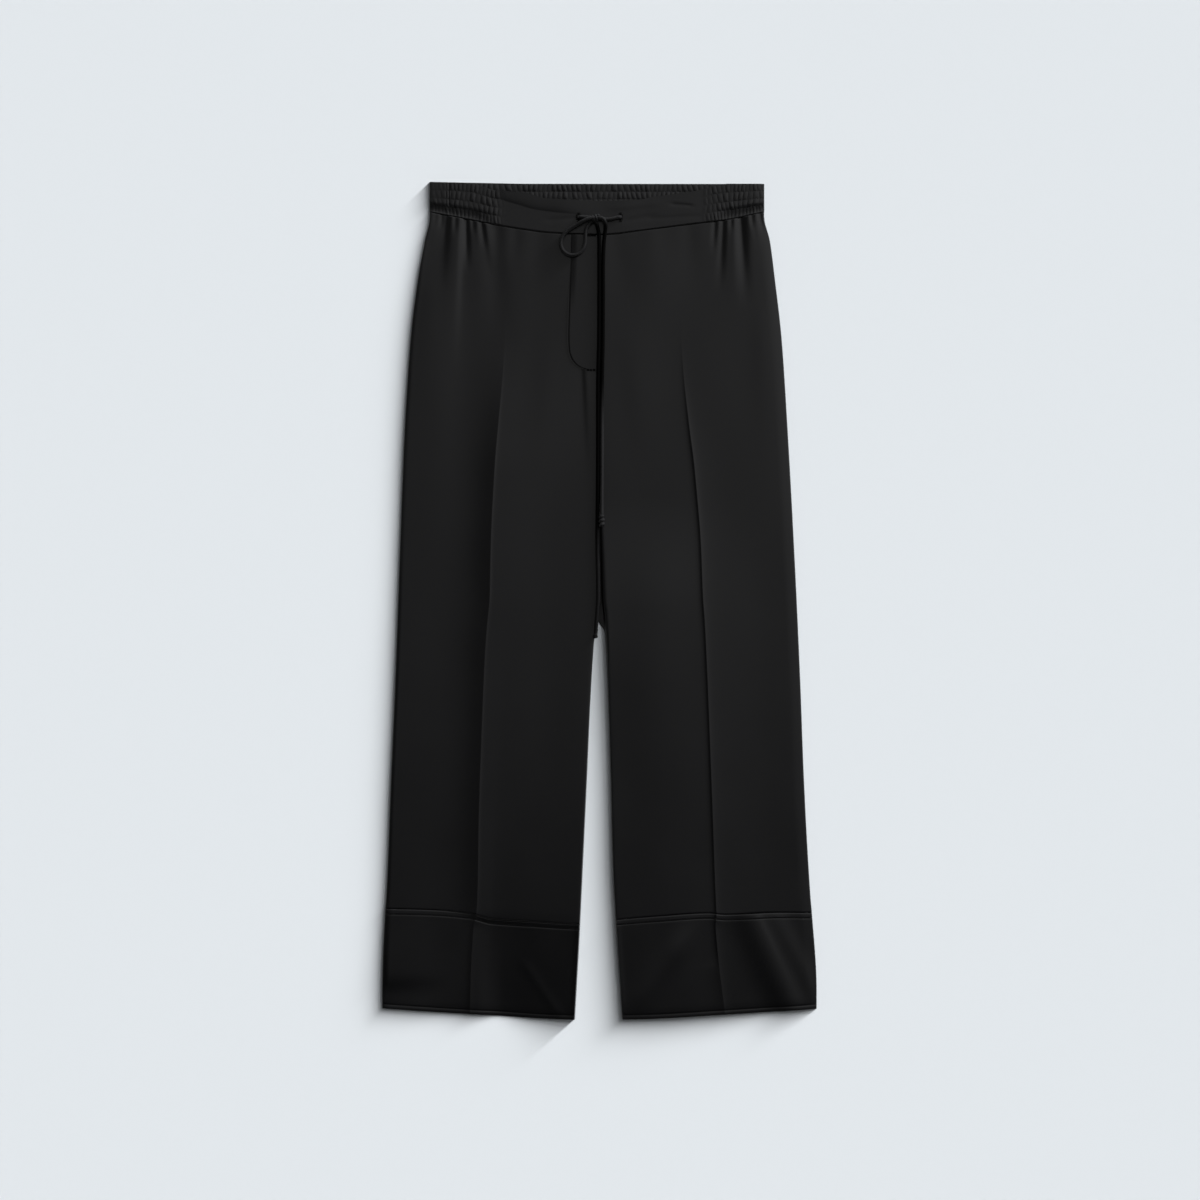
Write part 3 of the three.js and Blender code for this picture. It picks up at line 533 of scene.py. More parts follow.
# %% [markdown]
# The crease was pressed in, so it has a sharp crest that a slow curve can't make. On the right leg the
# cloth falls away slowly towards the side seam, over 50 mm, and only a narrow lip lies on the other
# side. On the left leg the crest is low and narrow. Each flank is a sum of two simple decays.

# %% Creases
CREASE_SIZES = {  # rise, then for each flank: share and reach of its narrow and of its wide part
    "right": {"rise": 4.2, "outer": ((0.0, 1.0), (1.0, 24.0)), "inner": ((0.10, 1.5), (0.90, 95.0))},
    "left": {"rise": 1.2, "outer": ((0.5, 2.6), (0.5, 16.0)), "inner": ((0.85, 1.7), (0.15, 14.0))},
    "band right": {"rise": 1.7, "outer": ((1.0, 4.6), (0.0, 1.0)), "inner": ((1.0, 9.0), (0.0, 1.0))},
    "band left": {"rise": 1.5, "outer": ((1.0, 5.0), (0.0, 1.0)), "inner": ((1.0, 2.0), (0.0, 1.0))},
}


BAND_OPENS = {"y": -404, "length": 24, "share": 0.75}  # the left band's crease opens out below this y
LEG_WIDTH = 226


def flank(distance, parts):
    (narrow, narrow_reach), (wide, wide_reach) = parts
    return narrow * np.exp(-distance / narrow_reach) + wide * (1 - np.tanh(distance / wide_reach))


def crease(side, x, y, crease_x, part=""):
    """The crest's height at (x, y). crease_x is the crease's own place on each row."""
    sizes = CREASE_SIZES[part + side]
    outwards = (x - crease_x) * (1 if side == "left" else -1)
    distance = np.abs(outwards)
    inner = distance
    if part + side == "band left":
        opened = smooth((BAND_OPENS["y"] - y) / BAND_OPENS["length"])
        inner = distance * (1 - BAND_OPENS["share"] * opened)
    shape = np.where(outwards > 0, flank(distance, sizes["outer"]), flank(inner, sizes["inner"]))
    return sizes["rise"] * crease_height(y) * shape


def crease_line(side, downs, above, below):
    share = np.full((len(downs), 1), CREASE[side])
    _, y = leg_points(side, share, downs[:, None], above, below)
    x, y = leg_points(side, pushed(side, share, y), downs[:, None], above, below)
    return x, y


def across_leg(side, pitch=2.1):
    """Shares of the way across, set close at the two edges and on both sides of the crease."""
    edge = np.array([0, 0.25, 0.6, 1.1, 1.8, 2.8]) / LEG_WIDTH
    near = np.array([0, 0.5, 1.0, 1.6, 2.4, 3.4, 4.8, 6.4, 8.4]) / LEG_WIDTH
    middle = CREASE[side]
    outer = np.linspace(edge[-1], middle - near[-1], int(middle * LEG_WIDTH / pitch))[1:-1]
    inner = np.linspace(middle + near[-1], 1 - edge[-1], int((1 - middle) * LEG_WIDTH / pitch))[1:-1]
    return np.unique(np.concatenate([edge, outer, middle - near, middle + near, inner, 1 - edge]))


print("lines across a front:", [len(across_leg(side)) for side in SIDES])


# %% [markdown]
# The front of each leg is the main piece: gathers under the elastic, the crease, long soft drag lines
# and a slight waviness, all added as heights. Its edges are rounded down into the seams, and those
# rounded edges are what the eye reads as a sewn line.

# %% Leg fronts
PANEL_LENGTH = 806
SEAM_ROUND = 1.4
SEAM_DROP = 0.75
EDGE_ROUND = 1.2
CROTCH_ROUND = {"right": -0.9, "left": 3.6}  # how much rounder the inseams are near the crotch
CROTCH_ROUND_Y, CROTCH_ROUND_LENGTH = 20, 80
LEG_DROP_LENGTH = 12  # the centre seam's shallow rounding becomes the inseam's deep one over this
SIDE_SOFT, GATHER_SOFT = 7, 4  # folds fade out over this towards the side seam
WAVES_START = 40  # the waviness grows over this below the waist seam
FRONT_WAVES = {"right": (11, 1.1), "left": (12, 1.1)}  # seed and height


def panel_top(x):
    return waist_seam(x) - SEAM_GAP / 2


def panel_foot(x):
    return piping_top(x) + SEAM_GAP / 2


def side_rounding(side, x, y):
    """How far the cloth falls at the side seam, the inseam and the centre seam, to meet the back."""
    drop = mix(SEAM_DROP, EDGE_DROP, smooth((CROTCH_Y - y) / LEG_DROP_LENGTH)) + lift(side, 0, y)
    inseam_round = EDGE_ROUND + CROTCH_ROUND[side] * bell((y - CROTCH_ROUND_Y) / CROTCH_ROUND_LENGTH)
    at_side = rounded(to_side(side, x, y), EDGE_ROUND, EDGE_DROP)
    return at_side + rounded(to_inseam(side, x, y), inseam_round, 1) * drop


def front_height(side, x, y, crease_x):
    """The outside of a leg's front, with all its folds."""
    below_seam = waist_seam(x) - y
    height = front_loft(side, x, y) + SOLID_CLOTH
    soft = smooth(to_side(side, x, y) / SIDE_SOFT)
    height += crease(side, x, y, crease_x) * soft
    gathered = folds(x, y, GATHERS[side]) + steps(x, y, GATHER_STEPS[side])
    height += gathered * smooth(to_side(side, x, y) / GATHER_SOFT)
    height += (folds(x, y, DRAG_LINES[side]) + steps(x, y, FRONT_STEPS)) * soft
    height += unevenness(x, y, *FRONT_WAVES[side]) * soft * smooth(below_seam / WAVES_START)
    height -= side_rounding(side, x, y)
    height -= rounded(below_seam - SEAM_GAP / 2, SEAM_ROUND, SEAM_DROP)
    height -= rounded(y - piping_top(x) - SEAM_GAP / 2, SEAM_ROUND, SEAM_DROP)
    return height


def leg_rows():
    """Rows down a front, close at its two seams and over the gathers."""
    top = np.array([0, 0.3, 0.8, 1.5, 2.6])
    near = np.arange(4.5, 130, 2.3)
    rest = np.arange(130, PANEL_LENGTH - 6, 5.2)
    foot = PANEL_LENGTH - np.array([4.0, 2.4, 1.4, 0.7, 0.3, 0])
    return np.concatenate([top, near, rest, foot]) / PANEL_LENGTH


def leg_front(side):
    downs = leg_rows()
    crease_x, crease_y = crease_line(side, downs, panel_top, panel_foot)
    shares = pushed(side, across_leg(side)[None, :], crease_y)
    x, y = leg_points(side, shares, downs[:, None], panel_top, panel_foot)
    outer = front_height(side, x, y, crease_x)
    return shell(f"satin_front_{side}", x, y, outer, outer - CLOTH)


fronts = {side: leg_front(side) for side in SIDES}

# %% [markdown]
# The backs lie flat on the surface. Their outside is the underside here, with only shallow troughs
# that lift off the surface by a few tenths of a millimetre, as pressed cloth does. At the crotch the
# left back reaches across to the right one. Its first 1.3 mm close the slit where the legs lie together,
# and its wider reach just below the crotch is painted shade: a dark sheet of cloth over the floor at the
# top of the gap between the legs.

# %% Leg backs and the back's own seams
BACK_WAIST_SEAM_Y = 452.3
# The first row closes the slit where the legs lie together. The second is painted shade: black cloth over
# the floor at the top of the gap, where there is only shadow.
CROTCH_REACH = ((1.3, 88, 78), (6.0, 0, -18))  # how far across, and the y where it starts and is whole
CROTCH_REACH_END = (-37, -21)  # the y where it is gone, and where it is still whole
BACK_CREASE = {"height": 0.4, "reach": 5, "share": 0.47}
BACK_ROUND, BACK_RISE, BACK_MOST = 1.6, 0.45, 0.55  # its edges, and the most that any trough lifts
PIPING_ENDS = {"right": (-250, -22), "left": (248, 18)}


def back_waist_seam(x):
    return np.full_like(x, BACK_WAIST_SEAM_Y)


def back_piping_top(side):
    outer, inner = PIPING_ENDS[side]
    at_outer, at_inner = piping_top(outer), piping_top(inner)
    return lambda x: mix(at_outer, at_inner, (x - outer) / (inner - outer))


BACK_GATHERS = [
    (sign * x0, 450, sign * (x0 + lean), y1, 2.5, 7.0, 0.45)
    for sign in (-1, 1)
    for x0, lean, y1 in [
        (14, -2, 410), (31, 1, 385), (44, -2, 420), (60, 3, 395), (79, 0, 370), (93, 2, 415),
        (112, -1, 390), (127, 2, 405), (141, 3, 372), (158, 4, 400), (172, 5, 385), (184, 5, 415),
    ]
]


def underside(side, x, y):
    """The height of the back's outside above the surface: 0 but for a few shallow troughs."""
    middle = mix(side_x[side](y), inseam_x[side](y), BACK_CREASE["share"])
    near = np.exp(-np.abs(x - middle) / BACK_CREASE["reach"])
    pressed = BACK_CREASE["height"] * crease_height(y) * near
    gathers = folds(x, y, BACK_GATHERS)
    edge = sum(rounded(far(side, x, y), BACK_ROUND, BACK_RISE) for far in (to_side, to_inseam))
    return np.minimum(pressed + gathers + edge, BACK_MOST)


def crotch_reach(side, share, y):
    """At the crotch the left back reaches the right one, and no table shows between them."""
    if side == "right":
        return 0
    reach = sum(most * smooth((start - y) / (start - whole)) for most, start, whole in CROTCH_REACH)
    gone, whole = CROTCH_REACH_END
    return reach * smooth((y - gone) / (whole - gone)) * share**8  # felt only near the inseam


def back_piece(name, side, shares, downs, above, below):
    x, y = leg_points(side, shares[None, :], downs[:, None], above, below)
    x = x - crotch_reach(side, shares[None, :], y)
    outer = underside(side, x, y)
    return shell(name, x, y, outer + CLOTH, outer)


def leg_back(side):
    foot = back_piping_top(side)
    return back_piece(
        f"satin_back_{side}", side, across_leg(side, 4.0), np.linspace(0, 1, 150),
        lambda x: back_waist_seam(x) - SEAM_GAP, lambda x: foot(x) + SEAM_GAP / 2,
    )


backs = {side: leg_back(side) for side in SIDES}

# %% [markdown]
# A flat piping and a deep double band finish each leg. They are strips across the leg between two
# edges, cut on the same lines as the panel above, so that the crease runs on through them.

# %% Piping and hem bands
INNER_BAND_LEAN = 0.026  # how steeply the right band's inner half falls towards the hem
HEM_STITCH = 5.2  # how far the line of hem sewing lies above the edge
HEM_WAVES = (31, 0.8, 40, 110)  # seed, height, shortest and longest wave
HEM_ROUND = 1.4
PIPING_DEPTH = {"plain": 0.5, "left": 0.2, "leaning": 0.5}  # the last two come on top of the first
PIPING_LEAN = 0.09
BAND_DEPTH = 112


def band_height(side, x, y, crease_x, thickness):
    soft = smooth(to_side(side, x, y) / SIDE_SOFT) * smooth(to_inseam(side, x, y) / SIDE_SOFT)
    height = front_loft(side, x, y) + thickness
    height += crease(side, x, y, crease_x, "band ") * soft
    if side == "right":
        height -= INNER_BAND_LEAN * np.maximum(0, piping_top(x) - y) * smooth((x + 142) / 30)
    height += (folds(x, y, BAND_FOLDS, even=True) + steps(x, y, BAND_STEPS)) * soft
    height += unevenness(x, y, *HEM_WAVES) * soft
    height -= HEM_DROP * smooth(1 - (y - hem_edge(x)) / HEM_DROP_REACH)
    return height


def strip(name, side, downs, above, below, thickness, finish):
    """finish takes x, y and the height, and rounds the strip's own edges."""
    crease_x, crease_y = crease_line(side, downs, above, below)
    shares = pushed(side, across_leg(side)[None, :], crease_y)
    x, y = leg_points(side, shares, downs[:, None], above, below)
    outer = finish(x, y, band_height(side, x, y, crease_x, thickness)) - side_rounding(side, x, y)
    return shell(name, x, y, outer, outer - CLOTH)


def piping_edges(seam):
    return (lambda x: seam(x) - SEAM_GAP / 2), (lambda x: seam(x) - PIPING_WIDTH + SEAM_GAP / 2)


def piping_finish(x, y, height):
    """On the inner half of the right leg the piping leans towards the hem and its seams are deeper."""
    leaning = smooth((x + 148) / 12) * (1 - smooth(x / 5))
    depth = PIPING_DEPTH["plain"] + PIPING_DEPTH["left"] * smooth(x / 5)
    depth = depth + PIPING_DEPTH["leaning"] * leaning
    from_seam = piping_top(x) - SEAM_GAP / 2 - y
    from_band = PIPING_WIDTH - SEAM_GAP - from_seam
    height = height - PIPING_LEAN * leaning * from_seam
    return height - rounded(from_seam, HEM_ROUND, depth) - rounded(from_band, HEM_ROUND, depth)


def band_finish(x, y, height):
    from_piping = piping_top(x) - PIPING_WIDTH - SEAM_GAP / 2 - y
    from_hem = y - hem_edge(x)
    height = height - rounded(from_piping, SEAM_ROUND, SEAM_DROP) - rounded(from_hem, HEM_ROUND, 0.7)
    return height - ditch(from_hem - HEM_STITCH, 0.8, 0.3)


PIPING_ROWS = np.linspace(0, 1, 13)
BAND_ROWS = np.concatenate([
    np.array([0, 0.25, 0.6, 1.1, 1.8]) / BAND_DEPTH, np.linspace(3.2, 103, 42) / BAND_DEPTH,
    np.array([104.6, 105.6, 106.3, 106.8, 107.4, 108.4, 109.6, 110.6, 111.3, 111.7, 112]) / BAND_DEPTH,
])


def leg_end(side):
    """The piping and the band of one leg, front and back."""
    made = {}
    above, below = piping_edges(piping_top)
    made["hem_piping_front"] = strip(
        f"satin_piping_front_{side}", side, PIPING_ROWS, above, below, PIPING_CLOTH, piping_finish
    )
    made["hem_band_front"] = strip(
        f"satin_hem_front_{side}", side, BAND_ROWS,
        lambda x: piping_top(x) - PIPING_WIDTH - SEAM_GAP / 2, hem_edge, BAND_CLOTH, band_finish,
    )
    seam = back_piping_top(side)
    above, below = piping_edges(seam)
    coarse = across_leg(side, 4.0)
    made["hem_piping_back"] = back_piece(
        f"satin_piping_back_{side}", side, coarse, np.linspace(0, 1, 6), above, below
    )
    made["hem_band_back"] = back_piece(
        f"satin_hem_back_{side}", side, coarse, np.linspace(0, 1, 34),
        lambda x: seam(x) - PIPING_WIDTH - SEAM_GAP / 2, hem_edge,
    )
    return made


leg_ends = {side: leg_end(side) for side in SIDES}

# %% [markdown]
# Elastic gathers the cloth between rows of sewing into small ribs. Real ribs are uneven: each has its
# own height, they lean this way and that, and they jump at each row of sewing. So each channel between
# two rows has a wave of its own, with round crests and sharp valleys, that goes to nothing at the rows.
# They are heights of the band's own cloth and no repeated parts, because they run into each other.

# %% Elastic ribs
SIDE_ROWS = (  # of the elastic sides: start and end down the band, rib pitch and height
    (0.00, 0.24, 4.9, 0.50), (0.24, 0.50, 6.1, 0.62), (0.50, 0.74, 5.5, 0.62), (0.74, 1.00, 4.3, 0.55),
)
BACK_ROWS = (  # of the back's inside
    (0.00, 0.28, 5.9, 0.80), (0.28, 0.56, 5.7, 0.80), (0.56, 0.80, 5.9, 0.60), (0.80, 1.00, 5.9, 0.45),
)
CREST, SWELL = 0.7, 0.6  # powers: the first makes the crests round, the second fills a channel's middle
RIB_LEAN = 2.2  # radians that a rib leans over from row to row, at most
print("channels at the sides:", len(SIDE_ROWS), "and at the back:", len(BACK_ROWS))


def ribs(x, down, rows, seed):
    """Rib height at (x, down), for channels with a start, an end, a pitch and a height."""
    random = np.random.default_rng(seed)
    total = np.zeros_like(x)
    for start, end, pitch, rib_height in rows:
        inside = np.clip((down - start) / (end - start), 0, 1)
        drift = sum(
            random.uniform(0.6, 1.6) * np.sin(x / random.uniform(6, 20) + random.uniform(0, 6.3))
            for _ in range(3)
        )
        lean = RIB_LEAN * np.sin(x / random.uniform(7, 16) + random.uniform(0, 6.3))
        turns = x / pitch + (drift + lean * (inside - 0.5)) / (2 * np.pi)
        levels = random.uniform(0.25, 1.0, 400)
        level = levels[np.floor(turns + 0.5).astype(int) % len(levels)]
        wave = np.abs(np.cos(np.pi * turns)) ** CREST
        swell = np.sin(np.pi * inside) ** SWELL
        total += np.where((down >= start) & (down < end), rib_height * wave * level * swell, 0)
    return total


band_end = {side: float(side_x[side](WAISTBAND_MID_Y)) for side in SIDES}


def band_foot(x):
    return waist_seam(x) + SEAM_GAP / 2


def band_roll(x):
    return roll(np.minimum(x - band_end["right"], band_end["left"] - x))


def band_grid(start_x, end_x, columns, rows, top, foot):
    x = np.broadcast_to(np.linspace(start_x, end_x, columns), (len(rows), columns)).copy()
    down = np.broadcast_to(rows[:, None], x.shape)
    return x, mix(top(x), foot(x), down), down


def band_edges(x, y):
    """The rounding at the band's seam."""
    return rounded(y - band_foot(x), SEAM_ROUND, SEAM_DROP)


# %% [markdown]
# The elastic sides have four channels. The lowest leans in towards the seam, so it is darker. The ribs
# run on into the plain front band for a little way, as the elastic pulls on that too.

# %% Elastic sides of the waistband
BAND_SIDE_X = {"right": -121.2, "left": 130.5}
SIDE_SEED = {"right": 5, "left": 6}
SIDE_RIBS_GROW = 5  # the ribs grow over this from the side
QUIET_END = {"share": 0.55, "from": 22, "length": 6}  # they are lower at the right side's outer end
HOLLOW, HOLLOW_END = 1.4, 22  # how deep the lowest channel leans in, and how far it takes to end
CROSS_SEAM_X = -174.8  # a short upright seam in the right side part, over its upper three quarters


def hollow(down):
    """The lowest channel: it leans in, and comes up again a little at the seam."""
    return HOLLOW * (smooth((down - 0.62) / 0.28) - 0.5 * smooth((down - 0.92) / 0.08))


def waistband_side(side):
    outer_x, inner_x = band_end[side], BAND_SIDE_X[side]
    start_x, end_x = sorted((outer_x, inner_x))
    x, y, down = band_grid(start_x, end_x, 190, np.linspace(0, 1, 84), front_top, band_foot)
    from_side = np.abs(x - outer_x)
    height = LOFT + BAND_CLOTH - fall(from_side, *SIDE_FALL[side])
    level = 1
    if side == "right":
        level = 1 - QUIET_END["share"] * smooth((QUIET_END["from"] - from_side) / QUIET_END["length"])
    height += ribs(x, down, SIDE_ROWS, SIDE_SEED[side]) * smooth(from_side / SIDE_RIBS_GROW) * level
    height -= ditch(x - CROSS_SEAM_X, 0.8, 0.5) * smooth((0.75 - down) / 0.1)
    height -= hollow(down) * smooth(np.abs(x - inner_x) / HOLLOW_END)
    height -= band_edges(x, y) + rounded(from_side, EDGE_ROUND, EDGE_DROP)
    return shell(f"satin_waistband_side_{side}", x, y, height, height - CLOTH)


waistband_sides = {side: waistband_side(side) for side in SIDES}

# %% [markdown]
# The inside of the back waistband shows above the front one. It is the same gathered cloth, and its
# ribs show less on the underside, because the garment's weight presses them flat.

# %% Back of the waistband
BACK_SEED = 8
UNDERSIDE_SHARE, UNDERSIDE_MOST = 0.7, 0.5


def waistband_back():
    rows = np.linspace(0, 1, 64)
    x, y, down = band_grid(band_end["right"], band_end["left"], 620, rows, back_top, back_waist_seam)
    wave = ribs(x, down, BACK_ROWS, BACK_SEED) * band_roll(x)
    height = SOLID_CLOTH + wave
    lowest = np.minimum(UNDERSIDE_SHARE * wave, UNDERSIDE_MOST)
    return shell("satin_waistband_back", x, y, height, np.minimum(lowest, height - CLOTH))


waistband_rear = waistband_back()

# %% [markdown]
# The front of the waistband is plain. A soft fold runs across it from the right, and the cloth above
# it leans back. Two buttonholes are cut through it with a boolean, where the cord comes out.

# %% Front of the waistband
TUNNEL_LINE = [(-122, 467.4), (-98, 460.5), (-75, 453.9), (-45, 450.0), (-12, 447.6), (10, 446.8)]
BUTTONHOLES = ((-24.2, 444.8), (24.2, 444.8))
BUTTONHOLE_SIZE = (1.9, 7.6)
FRONT_BAND_DRAGS = [
    (88, 459.6, 104, 458.4, 2.4, 2.0, -0.3), (62, 443.5, 112, 446.0, 2.6, 3.0, -0.16),
    (36, 441.5, 58, 446.0, 3.4, 3.6, -0.2), (-54, 441.5, -30, 443.5, 3.4, 3.0, -0.22),
    (22, 456.5, 60, 461.0, 4.0, 4.5, 0.2),
]
RIBS_REACH = 13  # how far the elastic's ribs run on into the front band
TUNNEL_RISE, TUNNEL_SOFT = 0.9, 6  # the soft fold's height, and how fast the cloth above it levels out
BAND_WAVES = (21, 0.5, 30, 90)  # seed, height, shortest and longest wave


def waistband_front():
    start_x, end_x = BAND_SIDE_X["right"], BAND_SIDE_X["left"]
    rows = np.concatenate([[0, 0.01, 0.02, 0.035], np.linspace(0.05, 0.95, 56), [0.97, 0.985, 1]])
    x, y, down = band_grid(start_x, end_x, 420, rows, front_top, band_foot)
    above = y - curve_through(TUNNEL_LINE)(x)
    fade = smooth((6 - x) / 60) * smooth((x + 124) / 16)
    leaning = np.where(above > 0, TUNNEL_RISE * (1 - np.exp(-above / TUNNEL_SOFT)), 0)
    height = LOFT + BAND_CLOTH + fade * leaning
    for side in SIDES:
        near = 1 - smooth(np.abs(x - BAND_SIDE_X[side]) / RIBS_REACH)
        height += ribs(x, down, SIDE_ROWS, SIDE_SEED[side]) * near
    height += folds(x, y, FRONT_BAND_DRAGS, even=True)
    height += unevenness(x, y, *BAND_WAVES) * smooth((x - start_x) / 9) * smooth((end_x - x) / 9)
    height -= band_edges(x, y)
    return shell("satin_waistband_front", x, y, height, height - CLOTH)


def slot(name, centre, size, depth):
    """A straight slot with round ends, standing upright, for cutting."""
    turns = np.linspace(0, np.pi, 9)
    half_width, straight = size[0] / 2, (size[1] - size[0]) / 2
    top = [(half_width * math.cos(t), straight + half_width * math.sin(t)) for t in turns]
    ring = np.array(top + [(-a, -b) for a, b in top])
    count = len(ring)
    points = [(centre[0] + a, centre[1] + b, z) for z in (0, depth) for a, b in ring]
    faces = [list(range(count))[::-1], list(range(count, 2 * count))]
    faces += [[i, (i + 1) % count, count + (i + 1) % count, count + i] for i in range(count)]
    return new_object(name, points, faces, smooth_faces=False)


def cut(piece, cutter):
    modifier = piece.modifiers.new("cut", "BOOLEAN")
    modifier.object = cutter
    modifier.operation = "DIFFERENCE"
    modifier.solver = "EXACT"
    evaluated = piece.evaluated_get(bpy.context.evaluated_depsgraph_get())
    mesh = bpy.data.meshes.new_from_object(evaluated)
    piece.modifiers.clear()
    piece.data = mesh
    bpy.data.objects.remove(cutter)
    return piece


waistband_plain = waistband_front()
for number, centre in enumerate(BUTTONHOLES):
    cut(waistband_plain, slot(f"cutter_{number}", centre, BUTTONHOLE_SIZE, 10))
print("waistband front after cutting:", len(waistband_plain.data.polygons), "faces")

# %% [markdown]
# The mock fly is one more layer of cloth that lies on the right front. Its curved edge is sewn down,
# so it melts into the panel there. Its straight edge at the centre is folded, so it stays crisp.

# %% Mock fly
FLY_INNER_X = -0.8
FLY_TOP, FLY_FOOT = 424.5, 267.0
FLY_CLOTH = 0.9
FLY_SEWN_DROP = 0.45  # its sewn edge sinks into the panel
FLY_SEWN_INSET = 1.6  # the sewing runs this far inside the edge
FLY_TROUGH = 1.1  # the hollow down the upper part of the fly's sewn edge
fly_edge = curve_through(FLY_EDGE)


def fly_height(x, y):
    """The outside of the fly at (x, y)."""
    from_edge = x - fly_edge(y)
    height = LOFT + SOLID_CLOTH + SEAM_GAP + FLY_CLOTH + np.zeros_like(x)
    sunk = smooth((412 - y) / 20)
    height -= FLY_SEWN_DROP * (1 - smooth(from_edge / 3.0))
    height -= ditch(from_edge - FLY_SEWN_INSET, 0.75, 0.3) * sunk
    trough = smooth((y - 325) / 60) * (1 - smooth((from_edge + 0.5) / 9.5))
    height -= FLY_TROUGH * trough
    height -= rounded(FLY_INNER_X - x, 1.4, 0.8)
    height -= rounded(waist_seam(x) - y, SEAM_ROUND, 0.7)
    return height


def fly():
    downs = np.concatenate([[0, 0.002, 0.005, 0.01], np.linspace(0.02, 1, 90)])
    y_edge = mix(FLY_TOP, FLY_FOOT, downs)[:, None]
    parts = ((0, 0.16, 14), (0.19, 0.9, 18), (0.92, 1, 9))  # close at both edges
    shares = np.concatenate([np.linspace(*part) for part in parts])
    x = mix(fly_edge(y_edge), FLY_INNER_X, shares[None, :])
    y = np.where(downs[:, None] == 0, waist_seam(x) - SEAM_GAP, np.minimum(y_edge, waist_seam(x) - 0.5))
    outer = fly_height(x, y)
    return shell("satin_fly", x, y, outer, outer - CLOTH)


fly_piece = fly()

# %% [markdown]
# Knots. A knot in a round cord shows as wraps of that cord, so each is a tube wound in a helix about
# a short core, with the tube's sections set in numpy. The bow's knot is flattened, because it lies
# on the band.

# %% Knots
ROUND_ENDS = (0.55, 0.85)  # how thick a tube's last two rings are
WRAP_STEPS = 26  # sections in one turn of a wrap
BELLY = 0.18  # a wrap is this much thinner at its ends than at its middle


def tube(name, line, radius, sides=12):
    """A closed tube along a line in millimetres, with rounded ends."""
    line = np.asarray(line, float)
    tangents = np.gradient(line, axis=0)
    tangents /= np.linalg.norm(tangents, axis=1)[:, None]
    normal = np.cross(tangents[0], [0.31, 0.17, 0.93])
    normal /= np.linalg.norm(normal)
    turns = np.linspace(0, 2 * np.pi, sides, endpoint=False)
    rings = []
    for i, (place, tangent) in enumerate(zip(line, tangents)):
        normal = normal - tangent * (normal @ tangent)
        normal /= np.linalg.norm(normal)
        other = np.cross(tangent, normal)
        from_end = min(i, len(line) - 1 - i)
        size = radius * (ROUND_ENDS[from_end] if from_end < len(ROUND_ENDS) else 1)
        rings.append(place + size * (np.outer(np.cos(turns), normal) + np.outer(np.sin(turns), other)))
    points = np.vstack([*rings, line[:1], line[-1:]])
    starts = [ring * sides for ring in range(len(line))]  # each ring's first point
    around = [(j, (j + 1) % sides) for j in range(sides)]
    faces = [[a + j, a + k, b + k, b + j] for a, b in zip(starts[:-1], starts[1:]) for j, k in around]
    first, last = len(line) * sides, len(line) * sides + 1
    faces += [[first, k, j] for j, k in around]
    faces += [[last, starts[-1] + j, starts[-1] + k] for j, k in around]
    return new_object(name, points, faces)


def wraps(name, centre, axis, length, radius, turns, cord_radius, flat=1.0):
    """A cord wound about an axis, as the line that its middle follows."""
    axis = np.array(axis, float) / np.linalg.norm(axis)
    up = np.array([0.0, 0.0, 1.0])
    across = np.cross(up, axis)
    t = np.linspace(0, 1, int(WRAP_STEPS * turns))
    angle = 2 * np.pi * turns * t
    along = (t - 0.5) * (length - 2 * cord_radius)
    belly = 1 - BELLY + BELLY * np.sin(np.pi * t)
    line = (
        np.array(centre) + np.outer(along, axis)
        + np.outer(radius * belly * np.cos(angle), across)
        + np.outer(radius * belly * np.sin(angle) * flat, up)
    )
    return tube(name, line, cord_radius)


def joined(name, pieces):
    """Several meshes as one object."""
    points, faces, start = [], [], 0
    for piece in pieces:
        points += [tuple(v.co / MM) for v in piece.data.vertices]
        faces += [[start + i for i in p.vertices] for p in piece.data.polygons]
        start = len(points)
        bpy.data.objects.remove(piece)
    return new_object(name, points, faces)


bow_knot = joined("knot_bow", [
    wraps("bow_wraps", (-4.4, 443.2, 9.6), (1, 0.12, 0), 11.5, 2.7, 2.2, 2.0, 0.9),
    tube("bow_core", [(-9.4 + i, 442.6 + 0.12 * i, 9.4) for i in range(11)], 2.2),
])
tip_short = joined("knot_end_short", [
    wraps("short_wraps", (2.4, 92.8, 7.4), (0, -1, -0.01), 16, 2.0, 2.6, 1.9, 0.8),
    tube("short_core", [(2.4, 102 - i, 7.2) for i in range(17)], 2.3),
])
tip_long = joined("knot_end_long", [
    wraps("long_wraps", (-4.75, -41.0, 5.6), (-0.065, -1, -0.01), 6.4, 1.3, 1.6, 1.7),
    tube("long_core", [(-4.4 - 0.06 * i, -38 - i, 5.6) for i in range(6)], 2.2),
])
print("knots' points:", [len(knot.data.vertices) for knot in (bow_knot, tip_short, tip_long)])

# %% [markdown]
# Sewing. Every line of stitches is a path on the cloth, and a small Geometry Nodes tree sets a thread
# on it at an even step, turned to follow the path, with a little unevenness from a fixed seed.

# %% Paths of the sewing
HEM_SEWN = (0.985, 1.12)  # its ends, as shares of the side's x and the inseam's
HEM_SUNK = 0.28  # the hem's stitches pull into the cloth
CHANNEL_INSET = 0.99  # the rows stop a little short of the side seams
# How far the threads stand out of the cloth.
SIDE_PROUD, BACK_PROUD, FLY_PROUD, BARTACK_PROUD, HOLE_PROUD = 0.1, 0.12, 0.25, 0.2, 0.35
BARTACKS = ((-13.4, -6.2, 266.8), (-13.4, -5.4, 422.6))  # from x to x, and the lowest thread's y
BARTACK_THREADS, BARTACK_PITCH = 6, 0.36
HOLE_THREADS = 44
HOLE_CORNER = 0.75  # the sine past which a thread belongs to a round end


def line_of(x, y, z):
    return np.stack([x, y, z + np.zeros_like(x)], -1)


